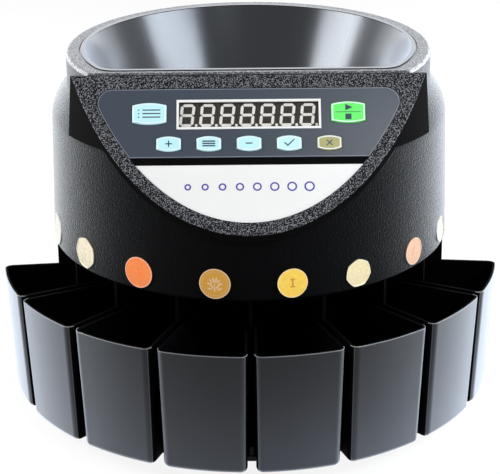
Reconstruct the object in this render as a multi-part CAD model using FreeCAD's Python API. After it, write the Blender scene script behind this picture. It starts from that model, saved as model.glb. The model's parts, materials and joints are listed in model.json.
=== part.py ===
"""Desktop coin sorting machine: a drum with a hopper on top and eight pull-out cups round its front.

Every piece is modelled about the vertical axis of the drum, front towards -Y, and is moved at the end
so that the origin lies at the bottom centre of the whole machine. Lengths are millimetres, angles degrees.
"""
import FreeCAD, Part
import math
import os

V = FreeCAD.Vector
UP = V(0, 0, 1)
FAR = 1000.0

# Running and seating clearances
FIT = 0.2
RUNNING_FIT = 0.05
KEY_FIT = 0.3
TOUCH_GAP = 0.3
KEY_REST_GAP = 0.1

# Base plate, feet and guide fins
FOOT_HEIGHT = 5.7
FOOT_RADIUS = 10.0
FOOT_CIRCLE = 112.0
FOOT_COUNT = 4
FOOT_FIRST_ANGLE = 45.0
FOOT_CHAMFER = 1.0
PLATE_THICKNESS = 3.5
PLATE_LIP = 9.05
FIN_WIDTH = 3.0
FIN_HEIGHT = 6.7

# Coin cups
CUP_COUNT = 8
CUP_PITCH = 21.0
CUP_RADIUS = 178.5
CUP_HEIGHT = 87.5
CUP_GAP = 4.4
CUP_WALL = 2.0
CUP_FACE_DRAFT = 2.9
CUP_SIDE_DRAFT = 0.4
CUP_CORNER = 5.0
CUP_BACK_CORNER = 4.0
CUP_FOOT_ROUND = 4.0
CUP_BACK_CLEARANCE = 2.5
CUP_LEAST_ROUND = 0.8

# Lower housing
CORE_RADIUS = 91.0
HOUSING_SETBACK = 1.4
HOUSING_WALL = 2.5
POST_RADIUS = 5.0
POST_SINK = 1.0
REAR_POST_ANGLES = (-145.0, -110.0, 110.0, 145.0)
FRONT_POST_ANGLES = (-30.0, 30.0)

# Rear connector pod
POD_DEPTH = 6.05
POD_WIDTH = 112.0
POD_HEIGHT = 62.0
REAR_PANEL_THICKNESS = 2.5
POD_BOSS_RADIUS = 4.0
POD_BOSS_LENGTH = 12.0

# Chute deck above the cups
CHUTE_DROP = 21.0
DECK_THICKNESS = 3.0
DECK_INNER_RADIUS = 79.0
PARTITION_THICKNESS = 2.4
PARTITION_CLEARANCE = 2.0
CHUTE_HALF_ANGLE = 8.6

# Coin track
RAIL_RADIUS = 124.0
RAIL_WIDTH = 4.0
RAIL_HEIGHT = 6.0
SORT_PLATE_THICKNESS = 2.0
TRACK_LEDGE = 3.0
SMALLEST_COIN = 18.0
COIN_STEP = 1.4
SLOT_MARGIN = 1.0
SLOT_HALF_ANGLE = 7.6
SENSOR_REACH = 3.5
SENSOR_HEIGHT = 9.0
SENSOR_HALF_ANGLE = 4.0
SENSOR_DROP = 2.0
SENSOR_SLOT = 3.0

# Feed disc and its drive
TRACK_WIDTH = 29.0
DISC_THICKNESS = 3.0
DISC_LIFT = 0.6
FINGER_COUNT = 12
FINGER_WIDTH = 5.0
FINGER_TIP_GAP = 1.0
HUB_RADIUS = 19.0
HUB_TOP_RADIUS = 9.0
HUB_HEIGHT = 13.0
VANE_COUNT = 3
VANE_INNER_RADIUS = 16.0
VANE_LENGTH = 34.0
VANE_WIDTH = 6.0
VANE_HEIGHT = 5.0
VANE_ROUND = 1.5
CAP_HEIGHT = 4.0
CAP_ROUND = 2.0
SHAFT_RADIUS = 5.0
BEARING_RADIUS = 11.0
BEARING_WIDTH = 7.0
BEARING_HOUSING_WALL = 5.0
BEARING_HOUSING_LENGTH = 36.0
BEARING_FLANGE = 12.0
BEARING_FLANGE_THICKNESS = 4.0
GEAR_MODULE = 1.25
GEAR_TEETH = 72
PINION_TEETH = 18
PRESSURE_ANGLE = 20.0
DEDENDUM_RATIO = 1.25
GEAR_BACKLASH = 0.3
GEAR_WIDTH = 10.0
GEAR_BELOW_BEARINGS = 3.0
GEAR_HUB_RADIUS = 12.0

# Motor
MOTOR_RADIUS = 21.0
MOTOR_LENGTH = 50.0
MOTOR_SHAFT_RADIUS = 3.0
MOTOR_SHAFT_DEPTH = 12.0
MOTOR_BOSS_RADIUS = 8.0
BRACKET_THICKNESS = 3.0
BRACKET_BELOW_GEAR = 6.0
BRACKET_MARGIN = 7.0
BRACKET_POST_RADIUS = 4.0
BRACKET_POSTS = ((-40.0, -20.0), (40.0, -20.0), (-30.0, 12.0), (30.0, 12.0))
MOTOR_SCREW_CIRCLE = 14.0
MOTOR_SCREW_COUNT = 4
MOTOR_SCREW_LENGTH = 8.0

# Power supply and main board on the base plate
CORE_BLOCK_SIZE = (56.0, 34.0, 46.0)
COIL_SIZE = (36.0, 48.0, 30.0)
CORE_LEG_WIDTH = 12.0
TRANSFORMER_WALL_GAP = 29.45
TRANSFORMER_Y = 30.0
BOARD_LENGTH = 52.0
BOARD_DEPTH = 64.0
BOARD_THICKNESS = 1.6
BOARD_WALL_GAP = 33.45
BOARD_Y = 38.0
STANDOFF_HEIGHT = 8.0
STANDOFF_RADIUS = 3.0
STANDOFF_INSET = 5.0
BOARD_CAN_RADIUS = 8.0
BOARD_CAN_HEIGHT = 25.0
BOARD_CHIP = (20.0, 8.0, 3.0)
BOARD_PLUG = (24.0, 6.0, 9.0)
CAN_PLACES = ((-14.0, -18.0), (4.0, -18.0))
CHIP_PLACES = ((-10.0, 6.0), (12.0, 14.0))
PLUG_PLACE = (0.0, 26.0)

# Drum shell
DRUM_ROOM = 10.85
DRUM_DRAFT = 1.615
DRUM_SIDE = 87.0
SHOULDER_RADIUS = 33.5
SHELL_WALL = 2.5
SEAT_WIDTH = 9.0

# Hopper
HOPPER_LEDGE = 14.05
COLLAR_HEIGHT = 21.8
COLLAR_WALL = 2.5
RIM_THICKNESS = 3.0
RIM_ROUND = 2.5
RIM_BAND_WIDTH = 13.3
FRONT_CUT_DEPTH = 52.5
BOWL_CORNER = 12.0
BOWL_WALL = 2.5
BOWL_MOUTH_RADIUS = 59.0
BOWL_DISC_GAP = 3.4
BEAD_WIDTH = 3.0
BEAD_HEIGHT = 0.6
GROOVE_WIDTH = 1.0
GROOVE_DEPTH = 0.8
FRONT_BAND_WIDTH = 7.0

# Sloping control panel
PANEL_TILT = 50.27
PANEL_EDGE_GAP = 2.3
PANEL_DROP = 1.7
PANEL_THICKNESS = 3.0
PANEL_OVERHANG = 0.75
PANEL_DRAFT = 3.54
PANEL_SKIRT = 2.5
SKIRT_START = 3.0
RIM_WIDTH = 8.3
RIM_TOP = 9.1
RECESS_DEPTH = 0.8
RECESS_CORNER = 10.0
OVERLAY_THICKNESS = 0.5
OVERLAY_END = 58.1
NAMEPLATE_START = 63.4

# Display
FRAME_WIDTH = 95.0
FRAME_HEIGHT = 20.8
FRAME_BORDER = 1.5
FRAME_PROUD = 0.2
FRAME_CENTRE = 27.8
POCKET_DEPTH = 1.6
WINDOW_THICKNESS = 0.5
WINDOW_LEDGE = 1.2
DIGIT_COUNT = 7
DIGIT_HEIGHT = 16.0
DIGIT_WIDTH = 9.6
DIGIT_SLANT = 6.0
SEGMENT_WIDTH = 1.9
SEGMENT_GAP = 0.25
SEGMENT_THICKNESS = 0.2
MODULE_GAP = 0.1
MODULE_SETBACK = 0.1

# Keys
KEY_CENTRE_LARGE = 27.1
KEY_CENTRE_SMALL = 48.5
KEY_LARGE = (22.4, 15.4)
KEY_SMALL = (16.0, 10.7)
KEY_CROWN = 1.7
KEY_PROUD = 0.6
KEY_EDGE = 0.5
KEY_FLANGE = 1.2
KEY_FLANGE_THICKNESS = 1.0
KEY_TRAVEL = 0.8
STEM_RADIUS = 1.7
STEM_LENGTH = 2.4
LARGE_KEY_X = 65.4
SMALL_KEY_PITCH = 26.3
SMALL_KEYS = ("key_plus", "key_batch", "key_minus", "key_set", "key_clear")
SWITCH_SIZE = 6.4
KEYBOARD_DEPTH = 9.6
KEYBOARD_HALF_WIDTH = 84.0
KEYBOARD_TOP = 13.0
KEYBOARD_END = 56.0
KEYBOARD_BOSS_RADIUS = 3.0
KEYBOARD_BOSS_INSET = 4.0
KEYBOARD_ROOM = 0.5

# Coin badges on the drum
BADGE_LARGEST = 22.6
BADGE_STEP = 0.6
BADGE_THICKNESS = 0.6
BADGE_SIDES = 7
BADGE_LIFTS = (0.4, 0.7, 0.7, 0.3, 0.3, 0.3, 1.7, 2.4)
BADGE_SHIFTS = (0.0, 0.0, 0.0, 1.1, 0.75, -1.1, -0.6, -2.9)
BADGE_ROLLS = (0.0, 15.0, 0.0, 0.0, 0.0, -23.0, 0.0, 0.0)
BADGE_METALS = ("silver", "silver", "copper", "brass", "brass", "brass", "copper", "silver")
BADGE_OUTLINES = ("round", "sided", "round", "round", "round", "sided", "round", "round")

# Rear fittings
INLET_FLANGE = (48.0, 23.0, 3.0)
INLET_BODY = (28.0, 20.0, 18.0)
INLET_CAVITY = (24.0, 16.4, 16.0)
INLET_PIN = (2.0, 10.0, 4.0)
INLET_PIN_SPREAD = 7.0
INLET_PIN_RISE = 2.0
INLET_X = 22.0
FITTING_Z = 33.0
SWITCH_FLANGE = (21.0, 25.0, 2.0)
SWITCH_BODY = (18.6, 21.0, 13.0)
SWITCH_WALL = 1.8
SWITCH_X = -20.0
ROCKER_TILT = 8.0
ROCKER_PIVOT_DEPTH = 2.5
ROCKER_SIDE_GAP = 0.35
ROCKER_PIN_RADIUS = 1.2
ROCKER_PIN_SINK = 1.2
FUSE_RADIUS = 6.0
FUSE_CAP_RADIUS = 8.0
FUSE_CAP_HEIGHT = 6.0
FUSE_CAP_CHAMFER = 1.5
FUSE_LENGTH = 20.0
FUSE_X = -42.0
PORT_SIZE = (15.0, 14.0, 14.0)
PORT_CAVITY = (11.6, 8.4, 11.0)
PORT_X = -42.0
PORT_RISE = 17.0
FUSE_DROP = 9.0

# Screws
SCREW_RADIUS = 1.5
SCREW_LENGTH = 10.0
SCREW_HEAD_RADIUS = 2.8
SCREW_HEAD_HEIGHT = 1.8
SCREW_HOLE_SPARE = 1.0

# Levels worked out from the sizes above
PLATE_TOP = FOOT_HEIGHT + PLATE_THICKNESS
CUP_BASE = PLATE_TOP + TOUCH_GAP
CUP_RIM = CUP_BASE + CUP_HEIGHT
DECK_BOTTOM = CUP_RIM + CHUTE_DROP
DECK_TOP = DECK_BOTTOM + DECK_THICKNESS
SORT_TOP = DECK_TOP + SORT_PLATE_THICKNESS
DISC_BOTTOM = SORT_TOP + DISC_LIFT
DISC_TOP = DISC_BOTTOM + DISC_THICKNESS
BOWL_FLOOR = DISC_TOP + BOWL_DISC_GAP
BEARING_BOTTOM = DECK_TOP - BEARING_HOUSING_LENGTH
GEAR_TOP = BEARING_BOTTOM - GEAR_BELOW_BEARINGS
GEAR_BOTTOM = GEAR_TOP - GEAR_WIDTH
BRACKET_TOP = GEAR_BOTTOM - BRACKET_BELOW_GEAR
BRACKET_BOTTOM = BRACKET_TOP - BRACKET_THICKNESS
SHOULDER_BASE = DECK_TOP + DRUM_SIDE

# Radii, angles and places worked out from the sizes above
HALF_PITCH = CUP_PITCH / 2
BAY_HALF_ANGLE = CUP_COUNT * HALF_PITCH
CUP_ANGLES = [(number + 0.5) * CUP_PITCH - BAY_HALF_ANGLE for number in range(CUP_COUNT)]
DRUM_RADIUS = RAIL_RADIUS + RAIL_WIDTH + DRUM_ROOM + SHELL_WALL
HOPPER_RADIUS = DRUM_RADIUS - HOPPER_LEDGE
BOWL_RADIUS = HOPPER_RADIUS - RIM_BAND_WIDTH
BOWL_CHORD = BOWL_RADIUS - FRONT_CUT_DEPTH
HOPPER_FRONT = BOWL_CHORD + FRONT_BAND_WIDTH
PANEL_RADIUS = DRUM_RADIUS + PANEL_OVERHANG
PANEL_EDGE_Y = HOPPER_FRONT + PANEL_EDGE_GAP
DISC_RADIUS = RAIL_RADIUS - TRACK_WIDTH
HOUSING_RADIUS = DRUM_RADIUS - HOUSING_SETBACK
PLATE_FRONT_RADIUS = HOUSING_RADIUS + PLATE_LIP
REAR_REACH = HOUSING_RADIUS + POD_DEPTH
CORE_INSIDE = CORE_RADIUS - HOUSING_WALL
HOUSING_INSIDE = HOUSING_RADIUS - HOUSING_WALL
CUP_BACK_RADIUS = CORE_RADIUS + CUP_BACK_CLEARANCE
DRUM_SLOPE = math.tan(math.radians(DRUM_DRAFT))
GEAR_CENTRES = GEAR_MODULE * (GEAR_TEETH + PINION_TEETH) / 2
TILT = math.radians(PANEL_TILT)
CORNER_CENTRE = CUP_RADIUS - CUP_CORNER
CORNER_OFFSET = CUP_CORNER + CUP_GAP / 2
FRONT_REACH = CUP_RADIUS * math.cos(math.asin(CORNER_OFFSET / CORNER_CENTRE))
AXIS_Y = (FRONT_REACH - REAR_REACH - FUSE_CAP_HEIGHT) / 2


def drum_radius(height):
    """Outer radius of the drum side at a height, also carried on above the shoulder."""
    return DRUM_RADIUS - DRUM_SLOPE * (height - DECK_TOP)


SHOULDER_CENTRE_R = drum_radius(SHOULDER_BASE) - SHOULDER_RADIUS * math.cos(math.radians(DRUM_DRAFT))
SHOULDER_CENTRE_Z = SHOULDER_BASE - SHOULDER_RADIUS * math.sin(math.radians(DRUM_DRAFT))
SEAT_EDGE = HOPPER_RADIUS + FIT
SEAT_Z = SHOULDER_CENTRE_Z + math.sqrt(SHOULDER_RADIUS ** 2 - (SEAT_EDGE - SHOULDER_CENTRE_R) ** 2)
RIM_Z = SEAT_Z + COLLAR_HEIGHT
PANEL_EDGE_Z = RIM_Z - PANEL_DROP
PANEL_BACK_Y = HOPPER_FRONT + FIT
DIGIT_PITCH = (FRAME_WIDTH - 2 * WINDOW_LEDGE - FIT) / DIGIT_COUNT


# Small helpers for solids
def direction(angle):
    """Unit vector in plan at an angle from the front, positive towards +X."""
    turn = math.radians(angle)
    return V(math.sin(turn), -math.cos(turn), 0)


def turned(shape, angle):
    """Copy of a shape turned about the drum axis from the front to an angle."""
    copy = shape.copy()
    copy.rotate(V(0, 0, 0), UP, angle)
    return copy


def disc(radius, low, high, centre=V(0, 0, 0)):
    return Part.makeCylinder(radius, high - low, V(centre.x, centre.y, low))


def tube(outer, inner, low, high, centre=V(0, 0, 0)):
    return disc(outer, low, high, centre).cut(disc(inner, low, high, centre))


def block(x_low, x_high, y_low, y_high, low, high):
    return Part.makeBox(x_high - x_low, y_high - y_low, high - low, V(x_low, y_low, low))


def centred_block(size, centre):
    corner = centre - V(*size) * 0.5
    return Part.makeBox(size[0], size[1], size[2], corner)


def prism(points, low, high):
    """Upright prism over a closed outline of plan points."""
    corners = [V(point.x, point.y, low) for point in points]
    face = Part.Face(Part.makePolygon(corners + corners[:1]))
    return face.extrude(V(0, 0, high - low))


def revolved(edges):
    """Solid of revolution about the drum axis from edges in the plane of radius and height."""
    face = Part.Face(Part.Wire(edges))
    return face.revolve(V(0, 0, 0), UP, 360)


def profile(points):
    """Closed straight outline of radius and height pairs, as edges."""
    corners = [V(radius, 0, height) for radius, height in points]
    ends = corners[1:] + corners[:1]
    return [Part.makeLine(start, end) for start, end in zip(corners, ends)]


def wedge(half_angle, offset, low, high):
    """Front sector between two radial planes, each moved outwards by an offset."""
    side = direction(half_angle)
    apex = V(0, offset / math.sin(math.radians(half_angle)), 0)
    right = apex + side * FAR
    left = V(-right.x, right.y, 0)
    return prism([apex, right, V(right.x, -FAR, 0), V(left.x, -FAR, 0), left], low, high)


def sector(inner, outer, half_angle, angle, low, high):
    """Ring sector centred on an angle."""
    whole = tube(outer, inner, low, high)
    return turned(whole.common(wedge(half_angle, 0.0, low, high)), angle)


def joined(shapes):
    """One solid from shapes that meet."""
    result = shapes[0].fuse(shapes[1:]) if len(shapes) > 1 else shapes[0]
    return result.removeSplitter()


def group(shapes):
    return Part.makeCompound(shapes)


def screw(head_point, axis, length):
    """Screw with its head above a point, and its shank running the other way."""
    head = Part.makeCylinder(SCREW_HEAD_RADIUS, SCREW_HEAD_HEIGHT, head_point, axis)
    shank = Part.makeCylinder(SCREW_RADIUS, length, head_point, axis * -1)
    return joined([head, shank])


def screw_hole(head_point, axis, length):
    return Part.makeCylinder(SCREW_RADIUS, length + SCREW_HOLE_SPARE, head_point, axis * -1)


# Base plate, feet, housing and rear pod
def housing_region(inset, low, high):
    """Plan of the lower housing: a disc with the cup bay taken out of its front."""
    outer = disc(HOUSING_RADIUS - inset, low, high)
    bay = wedge(BAY_HALF_ANGLE, inset, low, high).cut(disc(CORE_RADIUS - inset, low, high))
    return outer.cut(bay)


def pod_block(inset, y_high, low, high):
    half = POD_WIDTH / 2 - inset
    return block(-half, half, CORE_RADIUS, y_high, low, high)


def post_centres(angles, wall_radius):
    return [direction(angle) * (wall_radius - POST_RADIUS + POST_SINK) for angle in angles]


REAR_POSTS = post_centres(REAR_POST_ANGLES, HOUSING_INSIDE)
FRONT_POSTS = post_centres(FRONT_POST_ANGLES, CORE_INSIDE)
POD_TOP = PLATE_TOP + POD_HEIGHT
POD_INSIDE = POD_WIDTH / 2 - HOUSING_WALL
REAR_PANEL_INNER = REAR_REACH - REAR_PANEL_THICKNESS
BASE_SCREW_SEAT = FOOT_HEIGHT + SCREW_HEAD_HEIGHT


def pod_boss_centres():
    x = POD_INSIDE - POD_BOSS_RADIUS + POST_SINK
    low = PLATE_TOP + POD_BOSS_RADIUS + FIT
    high = POD_TOP - HOUSING_WALL - POD_BOSS_RADIUS + POST_SINK
    return [V(side * x, REAR_PANEL_INNER, height) for side in (-1, 1) for height in (low, high)]


def base_screw_points():
    return [V(post.x, post.y, BASE_SCREW_SEAT) for post in REAR_POSTS + FRONT_POSTS]


def base_plate():
    front = wedge(BAY_HALF_ANGLE, 0.0, FOOT_HEIGHT, PLATE_TOP)
    front = front.common(disc(PLATE_FRONT_RADIUS, FOOT_HEIGHT, PLATE_TOP))
    pieces = [disc(HOUSING_RADIUS, FOOT_HEIGHT, PLATE_TOP), front]
    pieces.append(pod_block(0.0, REAR_REACH, FOOT_HEIGHT, PLATE_TOP))
    half = FIN_WIDTH / 2
    fin_tip = -PLATE_FRONT_RADIUS + half
    fin = block(-half, half, fin_tip, -CORE_RADIUS - FIT, FOOT_HEIGHT, PLATE_TOP + FIN_HEIGHT)
    pieces += [turned(fin, CUP_ANGLES[number] + HALF_PITCH) for number in range(CUP_COUNT - 1)]
    plate = joined(pieces)
    for point in base_screw_points():
        plate = plate.cut(disc(SCREW_HEAD_RADIUS, FOOT_HEIGHT, BASE_SCREW_SEAT, point))
        plate = plate.cut(disc(SCREW_RADIUS, FOOT_HEIGHT, PLATE_TOP, point))
    return plate


def rubber_feet():
    foot = disc(FOOT_RADIUS, 0.0, FOOT_HEIGHT, direction(FOOT_FIRST_ANGLE) * FOOT_CIRCLE)
    low_edges = [edge for edge in foot.Edges if edge.BoundBox.ZMax < FOOT_HEIGHT / 2]
    foot = foot.makeChamfer(FOOT_CHAMFER, low_edges)
    return group([turned(foot, 360.0 * number / FOOT_COUNT) for number in range(FOOT_COUNT)])


def lower_housing():
    outside = housing_region(0.0, PLATE_TOP, DECK_TOP).fuse(pod_block(0.0, REAR_REACH, PLATE_TOP, POD_TOP))
    inside = housing_region(HOUSING_WALL, PLATE_TOP, DECK_TOP)
    pod_inside = pod_block(HOUSING_WALL, REAR_REACH, PLATE_TOP, POD_TOP - HOUSING_WALL)
    walls = outside.cut(inside).cut(pod_inside)
    posts = [disc(POST_RADIUS, PLATE_TOP, DECK_BOTTOM, post) for post in REAR_POSTS + FRONT_POSTS]
    inward = V(0, -1, 0)
    bosses = pod_boss_centres()
    posts += [Part.makeCylinder(POD_BOSS_RADIUS, POD_BOSS_LENGTH, boss, inward) for boss in bosses]
    housing = joined([walls] + posts)
    housing = housing.cut(disc(HOUSING_INSIDE + FIT, DECK_BOTTOM, DECK_TOP))
    for point in base_screw_points():
        housing = housing.cut(screw_hole(point, UP * -1, SCREW_LENGTH))
    for post in REAR_POSTS:
        housing = housing.cut(screw_hole(V(post.x, post.y, DECK_TOP), UP, SCREW_LENGTH))
    for boss in bosses:
        housing = housing.cut(screw_hole(boss, V(0, 1, 0), SCREW_LENGTH))
    return housing


def case_screws():
    """The like screws of the base, the deck and the rear panel."""
    screws = [screw(point, UP * -1, SCREW_LENGTH) for point in base_screw_points()]
    screws += [screw(V(post.x, post.y, DECK_TOP), UP, SCREW_LENGTH) for post in REAR_POSTS]
    outward = V(0, 1, 0)
    seats = [boss + outward * REAR_PANEL_THICKNESS for boss in pod_boss_centres()]
    screws += [screw(seat, outward, SCREW_LENGTH) for seat in seats]
    return group(screws)


# Coin cups
def flat_sided(low_points, high_points):
    """Solid between two outlines with matching parallel sides, all of its faces flat."""
    rings = [low_points, high_points]
    faces = [Part.Face(Part.makePolygon(ring + ring[:1])) for ring in rings]
    for number in range(len(low_points)):
        following = (number + 1) % len(low_points)
        corners = [low_points[number], low_points[following], high_points[following], high_points[number]]
        faces.append(Part.Face(Part.makePolygon(corners + corners[:1])))
    return Part.Solid(Part.Shell(faces))


def cup_block(inset, low, high):
    """Solid of a cup at the front, with its walls moved in by an inset, between two heights."""
    face_slope = math.tan(math.radians(CUP_FACE_DRAFT))
    side_slope = math.tan(math.radians(CUP_SIDE_DRAFT))

    def face_radius(height):
        return CUP_RADIUS - inset - face_slope * (CUP_RIM - height)

    def slice_points(height):
        offset = CUP_GAP / 2 + inset + side_slope * (CUP_RIM - height)
        turn = math.radians(HALF_PITCH)

        def side_point(distance):
            return V(distance * math.tan(turn) - offset / math.cos(turn), -distance, height)

        right_back = side_point(CUP_BACK_RADIUS + inset)
        right_front = side_point(CUP_RADIUS * 2)
        left = [V(-point.x, point.y, height) for point in (right_front, right_back)]
        return [right_back, right_front] + left

    cone = Part.makeCone(face_radius(low), face_radius(high), high - low, V(0, 0, low))
    return cone.common(flat_sided(slice_points(low), slice_points(high)))


def rounded_cup_block(inset, low, high):
    """The same solid with its upright corners and its foot rounded."""
    def rounded(solid, radius, chosen):
        edges = [edge for edge in solid.Edges if chosen(edge)]
        return solid.makeFillet(max(radius - inset, CUP_LEAST_ROUND), edges)

    def upright(edge):
        heights = [vertex.Z for vertex in edge.Vertexes]
        return max(heights) - min(heights) > CUP_HEIGHT / 2

    def at_foot(edge):
        return all(vertex.Z < low + CUP_LEAST_ROUND for vertex in edge.Vertexes)

    middle = -(CUP_BACK_RADIUS + CUP_RADIUS) / 2
    solid = cup_block(inset, low, high)
    solid = rounded(solid, CUP_CORNER, lambda edge: upright(edge) and edge.CenterOfMass.y < middle)
    nearest = -CUP_BACK_RADIUS - inset - CUP_LEAST_ROUND
    solid = rounded(solid, CUP_BACK_CORNER, lambda edge: upright(edge) and edge.CenterOfMass.y > nearest)
    return rounded(solid, CUP_FOOT_ROUND, at_foot)


def coin_cup():
    outside = rounded_cup_block(0.0, CUP_BASE, CUP_RIM)
    inside = rounded_cup_block(CUP_WALL, CUP_BASE + CUP_WALL, CUP_RIM)
    return outside.cut(inside)


def add_cups(parts):
    cup = coin_cup()
    for number, angle in enumerate(CUP_ANGLES):
        parts["coin_cup_%d" % (number + 1)] = turned(cup, angle)


# Chute deck, coin track and sensors
def chute_deck():
    pieces = [tube(HOUSING_INSIDE, DECK_INNER_RADIUS, DECK_BOTTOM, DECK_TOP)]
    half = PARTITION_THICKNESS / 2
    low = CUP_RIM + PARTITION_CLEARANCE
    partition = block(-half, half, -HOUSING_INSIDE + half, -CORE_RADIUS - FIT, low, DECK_TOP)
    pieces += [turned(partition, CUP_ANGLES[number] + HALF_PITCH) for number in range(CUP_COUNT - 1)]
    deck = joined(pieces)
    for angle in CUP_ANGLES:
        deck = deck.cut(sector(CUP_BACK_RADIUS, RAIL_RADIUS, CHUTE_HALF_ANGLE, angle, DECK_BOTTOM, DECK_TOP))
    for post in REAR_POSTS:
        deck = deck.cut(disc(SCREW_RADIUS, DECK_BOTTOM, DECK_TOP, post))
    return deck


def sorting_plate():
    plate = tube(RAIL_RADIUS + RAIL_WIDTH, SHAFT_RADIUS + BEARING_HOUSING_WALL, DECK_TOP, SORT_TOP)
    outer = RAIL_RADIUS - TRACK_LEDGE
    for number, angle in enumerate(CUP_ANGLES):
        inner = RAIL_RADIUS - (SMALLEST_COIN + COIN_STEP * number) + SLOT_MARGIN
        plate = plate.cut(sector(inner, outer, SLOT_HALF_ANGLE, angle, DECK_TOP, SORT_TOP))
    return plate


def track_rail():
    return tube(RAIL_RADIUS + RAIL_WIDTH, RAIL_RADIUS, SORT_TOP, SORT_TOP + RAIL_HEIGHT)


def coin_sensors():
    top = DECK_BOTTOM - SENSOR_DROP
    low = top - SENSOR_HEIGHT
    fork = sector(CORE_RADIUS, CORE_RADIUS + SENSOR_REACH, SENSOR_HALF_ANGLE, 0.0, low, top)
    half = SENSOR_SLOT / 2
    back = CORE_RADIUS + SENSOR_REACH / 2
    fork = fork.cut(block(-half, half, -back - SENSOR_REACH, -back, low, top))
    return group([turned(fork, angle) for angle in CUP_ANGLES])


# Feed disc and its drive
def feed_disc():
    pieces = [disc(DISC_RADIUS, DISC_BOTTOM, DISC_TOP)]
    half = FINGER_WIDTH / 2
    tip = RAIL_RADIUS - FINGER_TIP_GAP
    finger = block(-half, half, -tip, -DISC_RADIUS + FINGER_WIDTH, DISC_BOTTOM, DISC_TOP)
    pieces += [turned(finger, 360.0 * number / FINGER_COUNT) for number in range(FINGER_COUNT)]
    pieces.append(Part.makeCone(HUB_RADIUS, HUB_TOP_RADIUS, HUB_HEIGHT, V(0, 0, DISC_TOP)))
    half = VANE_WIDTH / 2
    vane_top = DISC_TOP + VANE_HEIGHT
    vane = block(-half, half, -VANE_INNER_RADIUS - VANE_LENGTH, -VANE_INNER_RADIUS, DISC_TOP, vane_top)
    top_edges = [edge for edge in vane.Edges if edge.BoundBox.ZMin > DISC_TOP + VANE_HEIGHT / 2]
    vane = vane.makeFillet(VANE_ROUND, top_edges)
    pieces += [turned(vane, 360.0 * number / VANE_COUNT) for number in range(VANE_COUNT)]
    rotor = joined(pieces)
    return rotor.cut(disc(SHAFT_RADIUS, DISC_BOTTOM, DISC_TOP + HUB_HEIGHT))


def hub_cap():
    low = DISC_TOP + HUB_HEIGHT
    cap = disc(HUB_TOP_RADIUS, low, low + CAP_HEIGHT)
    top_edges = [edge for edge in cap.Edges if edge.BoundBox.ZMin > low + CAP_HEIGHT / 2]
    return cap.makeFillet(CAP_ROUND, top_edges)


def drive_shaft():
    return disc(SHAFT_RADIUS, GEAR_BOTTOM, DISC_TOP + HUB_HEIGHT)


def bearing_levels():
    low = BEARING_BOTTOM + BEARING_WIDTH / 2
    high = DECK_TOP - BEARING_WIDTH * 3 / 2
    return (low, high)


def bearing_housing():
    outer = BEARING_RADIUS + BEARING_HOUSING_WALL
    barrel = disc(outer, BEARING_BOTTOM, DECK_TOP)
    flange = disc(outer + BEARING_FLANGE, DECK_TOP - BEARING_FLANGE_THICKNESS, DECK_TOP)
    housing = joined([barrel, flange])
    housing = housing.cut(disc(SHAFT_RADIUS + BEARING_HOUSING_WALL / 2, BEARING_BOTTOM, DECK_TOP))
    low, high = bearing_levels()
    housing = housing.cut(disc(BEARING_RADIUS, BEARING_BOTTOM, low + BEARING_WIDTH))
    return housing.cut(disc(BEARING_RADIUS, high, DECK_TOP))


def ball_bearings():
    bore = SHAFT_RADIUS + RUNNING_FIT
    return group([tube(BEARING_RADIUS, bore, level, level + BEARING_WIDTH) for level in bearing_levels()])


def gear_face(teeth, first_angle):
    """Flat spur gear outline: involute flanks as arcs, straight tips and roots."""
    pitch = GEAR_MODULE * teeth / 2
    base = pitch * math.cos(math.radians(PRESSURE_ANGLE))
    tip = pitch + GEAR_MODULE
    root = pitch - DEDENDUM_RATIO * GEAR_MODULE
    pressure = math.radians(PRESSURE_ANGLE)
    half_tooth = math.pi / (2 * teeth) - GEAR_BACKLASH / (4 * pitch)

    def spread(radius):
        """Half angle of a tooth at a radius."""
        local = math.acos(min(1.0, base / max(radius, base)))
        return half_tooth + (math.tan(pressure) - pressure) - (math.tan(local) - local)

    def point(radius, angle):
        return V(radius * math.cos(angle), radius * math.sin(angle), 0)

    flank_start = max(root, base)
    flank_middle = (flank_start + tip) / 2
    edges = []
    for number in range(teeth):
        centre = math.radians(first_angle) + 2 * math.pi * number / teeth
        following = centre + 2 * math.pi / teeth
        rise = [point(radius, centre - spread(radius)) for radius in (flank_start, flank_middle, tip)]
        fall = [point(radius, centre + spread(radius)) for radius in (tip, flank_middle, flank_start)]
        root_start = point(root, centre + spread(flank_start))
        root_end = point(root, following - spread(flank_start))
        next_rise = point(flank_start, following - spread(flank_start))
        edges.append(Part.Arc(*rise).toShape())
        edges.append(Part.makeLine(rise[2], fall[0]))
        edges.append(Part.Arc(*fall).toShape())
        if root < base:
            edges.append(Part.makeLine(fall[2], root_start))
        edges.append(Part.makeLine(root_start, root_end))
        if root < base:
            edges.append(Part.makeLine(root_end, next_rise))
    return Part.Face(Part.Wire(edges))


def spur_gear(teeth, first_angle, centre):
    gear = gear_face(teeth, first_angle).extrude(V(0, 0, GEAR_WIDTH))
    gear.translate(V(centre.x, centre.y, GEAR_BOTTOM))
    return gear


MOTOR_CENTRE = V(0, GEAR_CENTRES, 0)
GEAR_TOOTH_ANGLE = 90.0
PINION_TOOTH_ANGLE = -90.0 + 180.0 / PINION_TEETH


def drive_gear():
    gear = spur_gear(GEAR_TEETH, GEAR_TOOTH_ANGLE, V(0, 0, 0))
    hub = disc(GEAR_HUB_RADIUS, GEAR_BOTTOM, GEAR_TOP + GEAR_BELOW_BEARINGS / 2)
    return joined([gear, hub]).cut(disc(SHAFT_RADIUS, GEAR_BOTTOM, GEAR_TOP + GEAR_BELOW_BEARINGS))


def motor_pinion():
    pinion = spur_gear(PINION_TEETH, PINION_TOOTH_ANGLE, MOTOR_CENTRE)
    shaft = disc(MOTOR_SHAFT_RADIUS, BRACKET_BOTTOM - MOTOR_SHAFT_DEPTH, GEAR_TOP, MOTOR_CENTRE)
    return joined([pinion, shaft])


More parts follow.
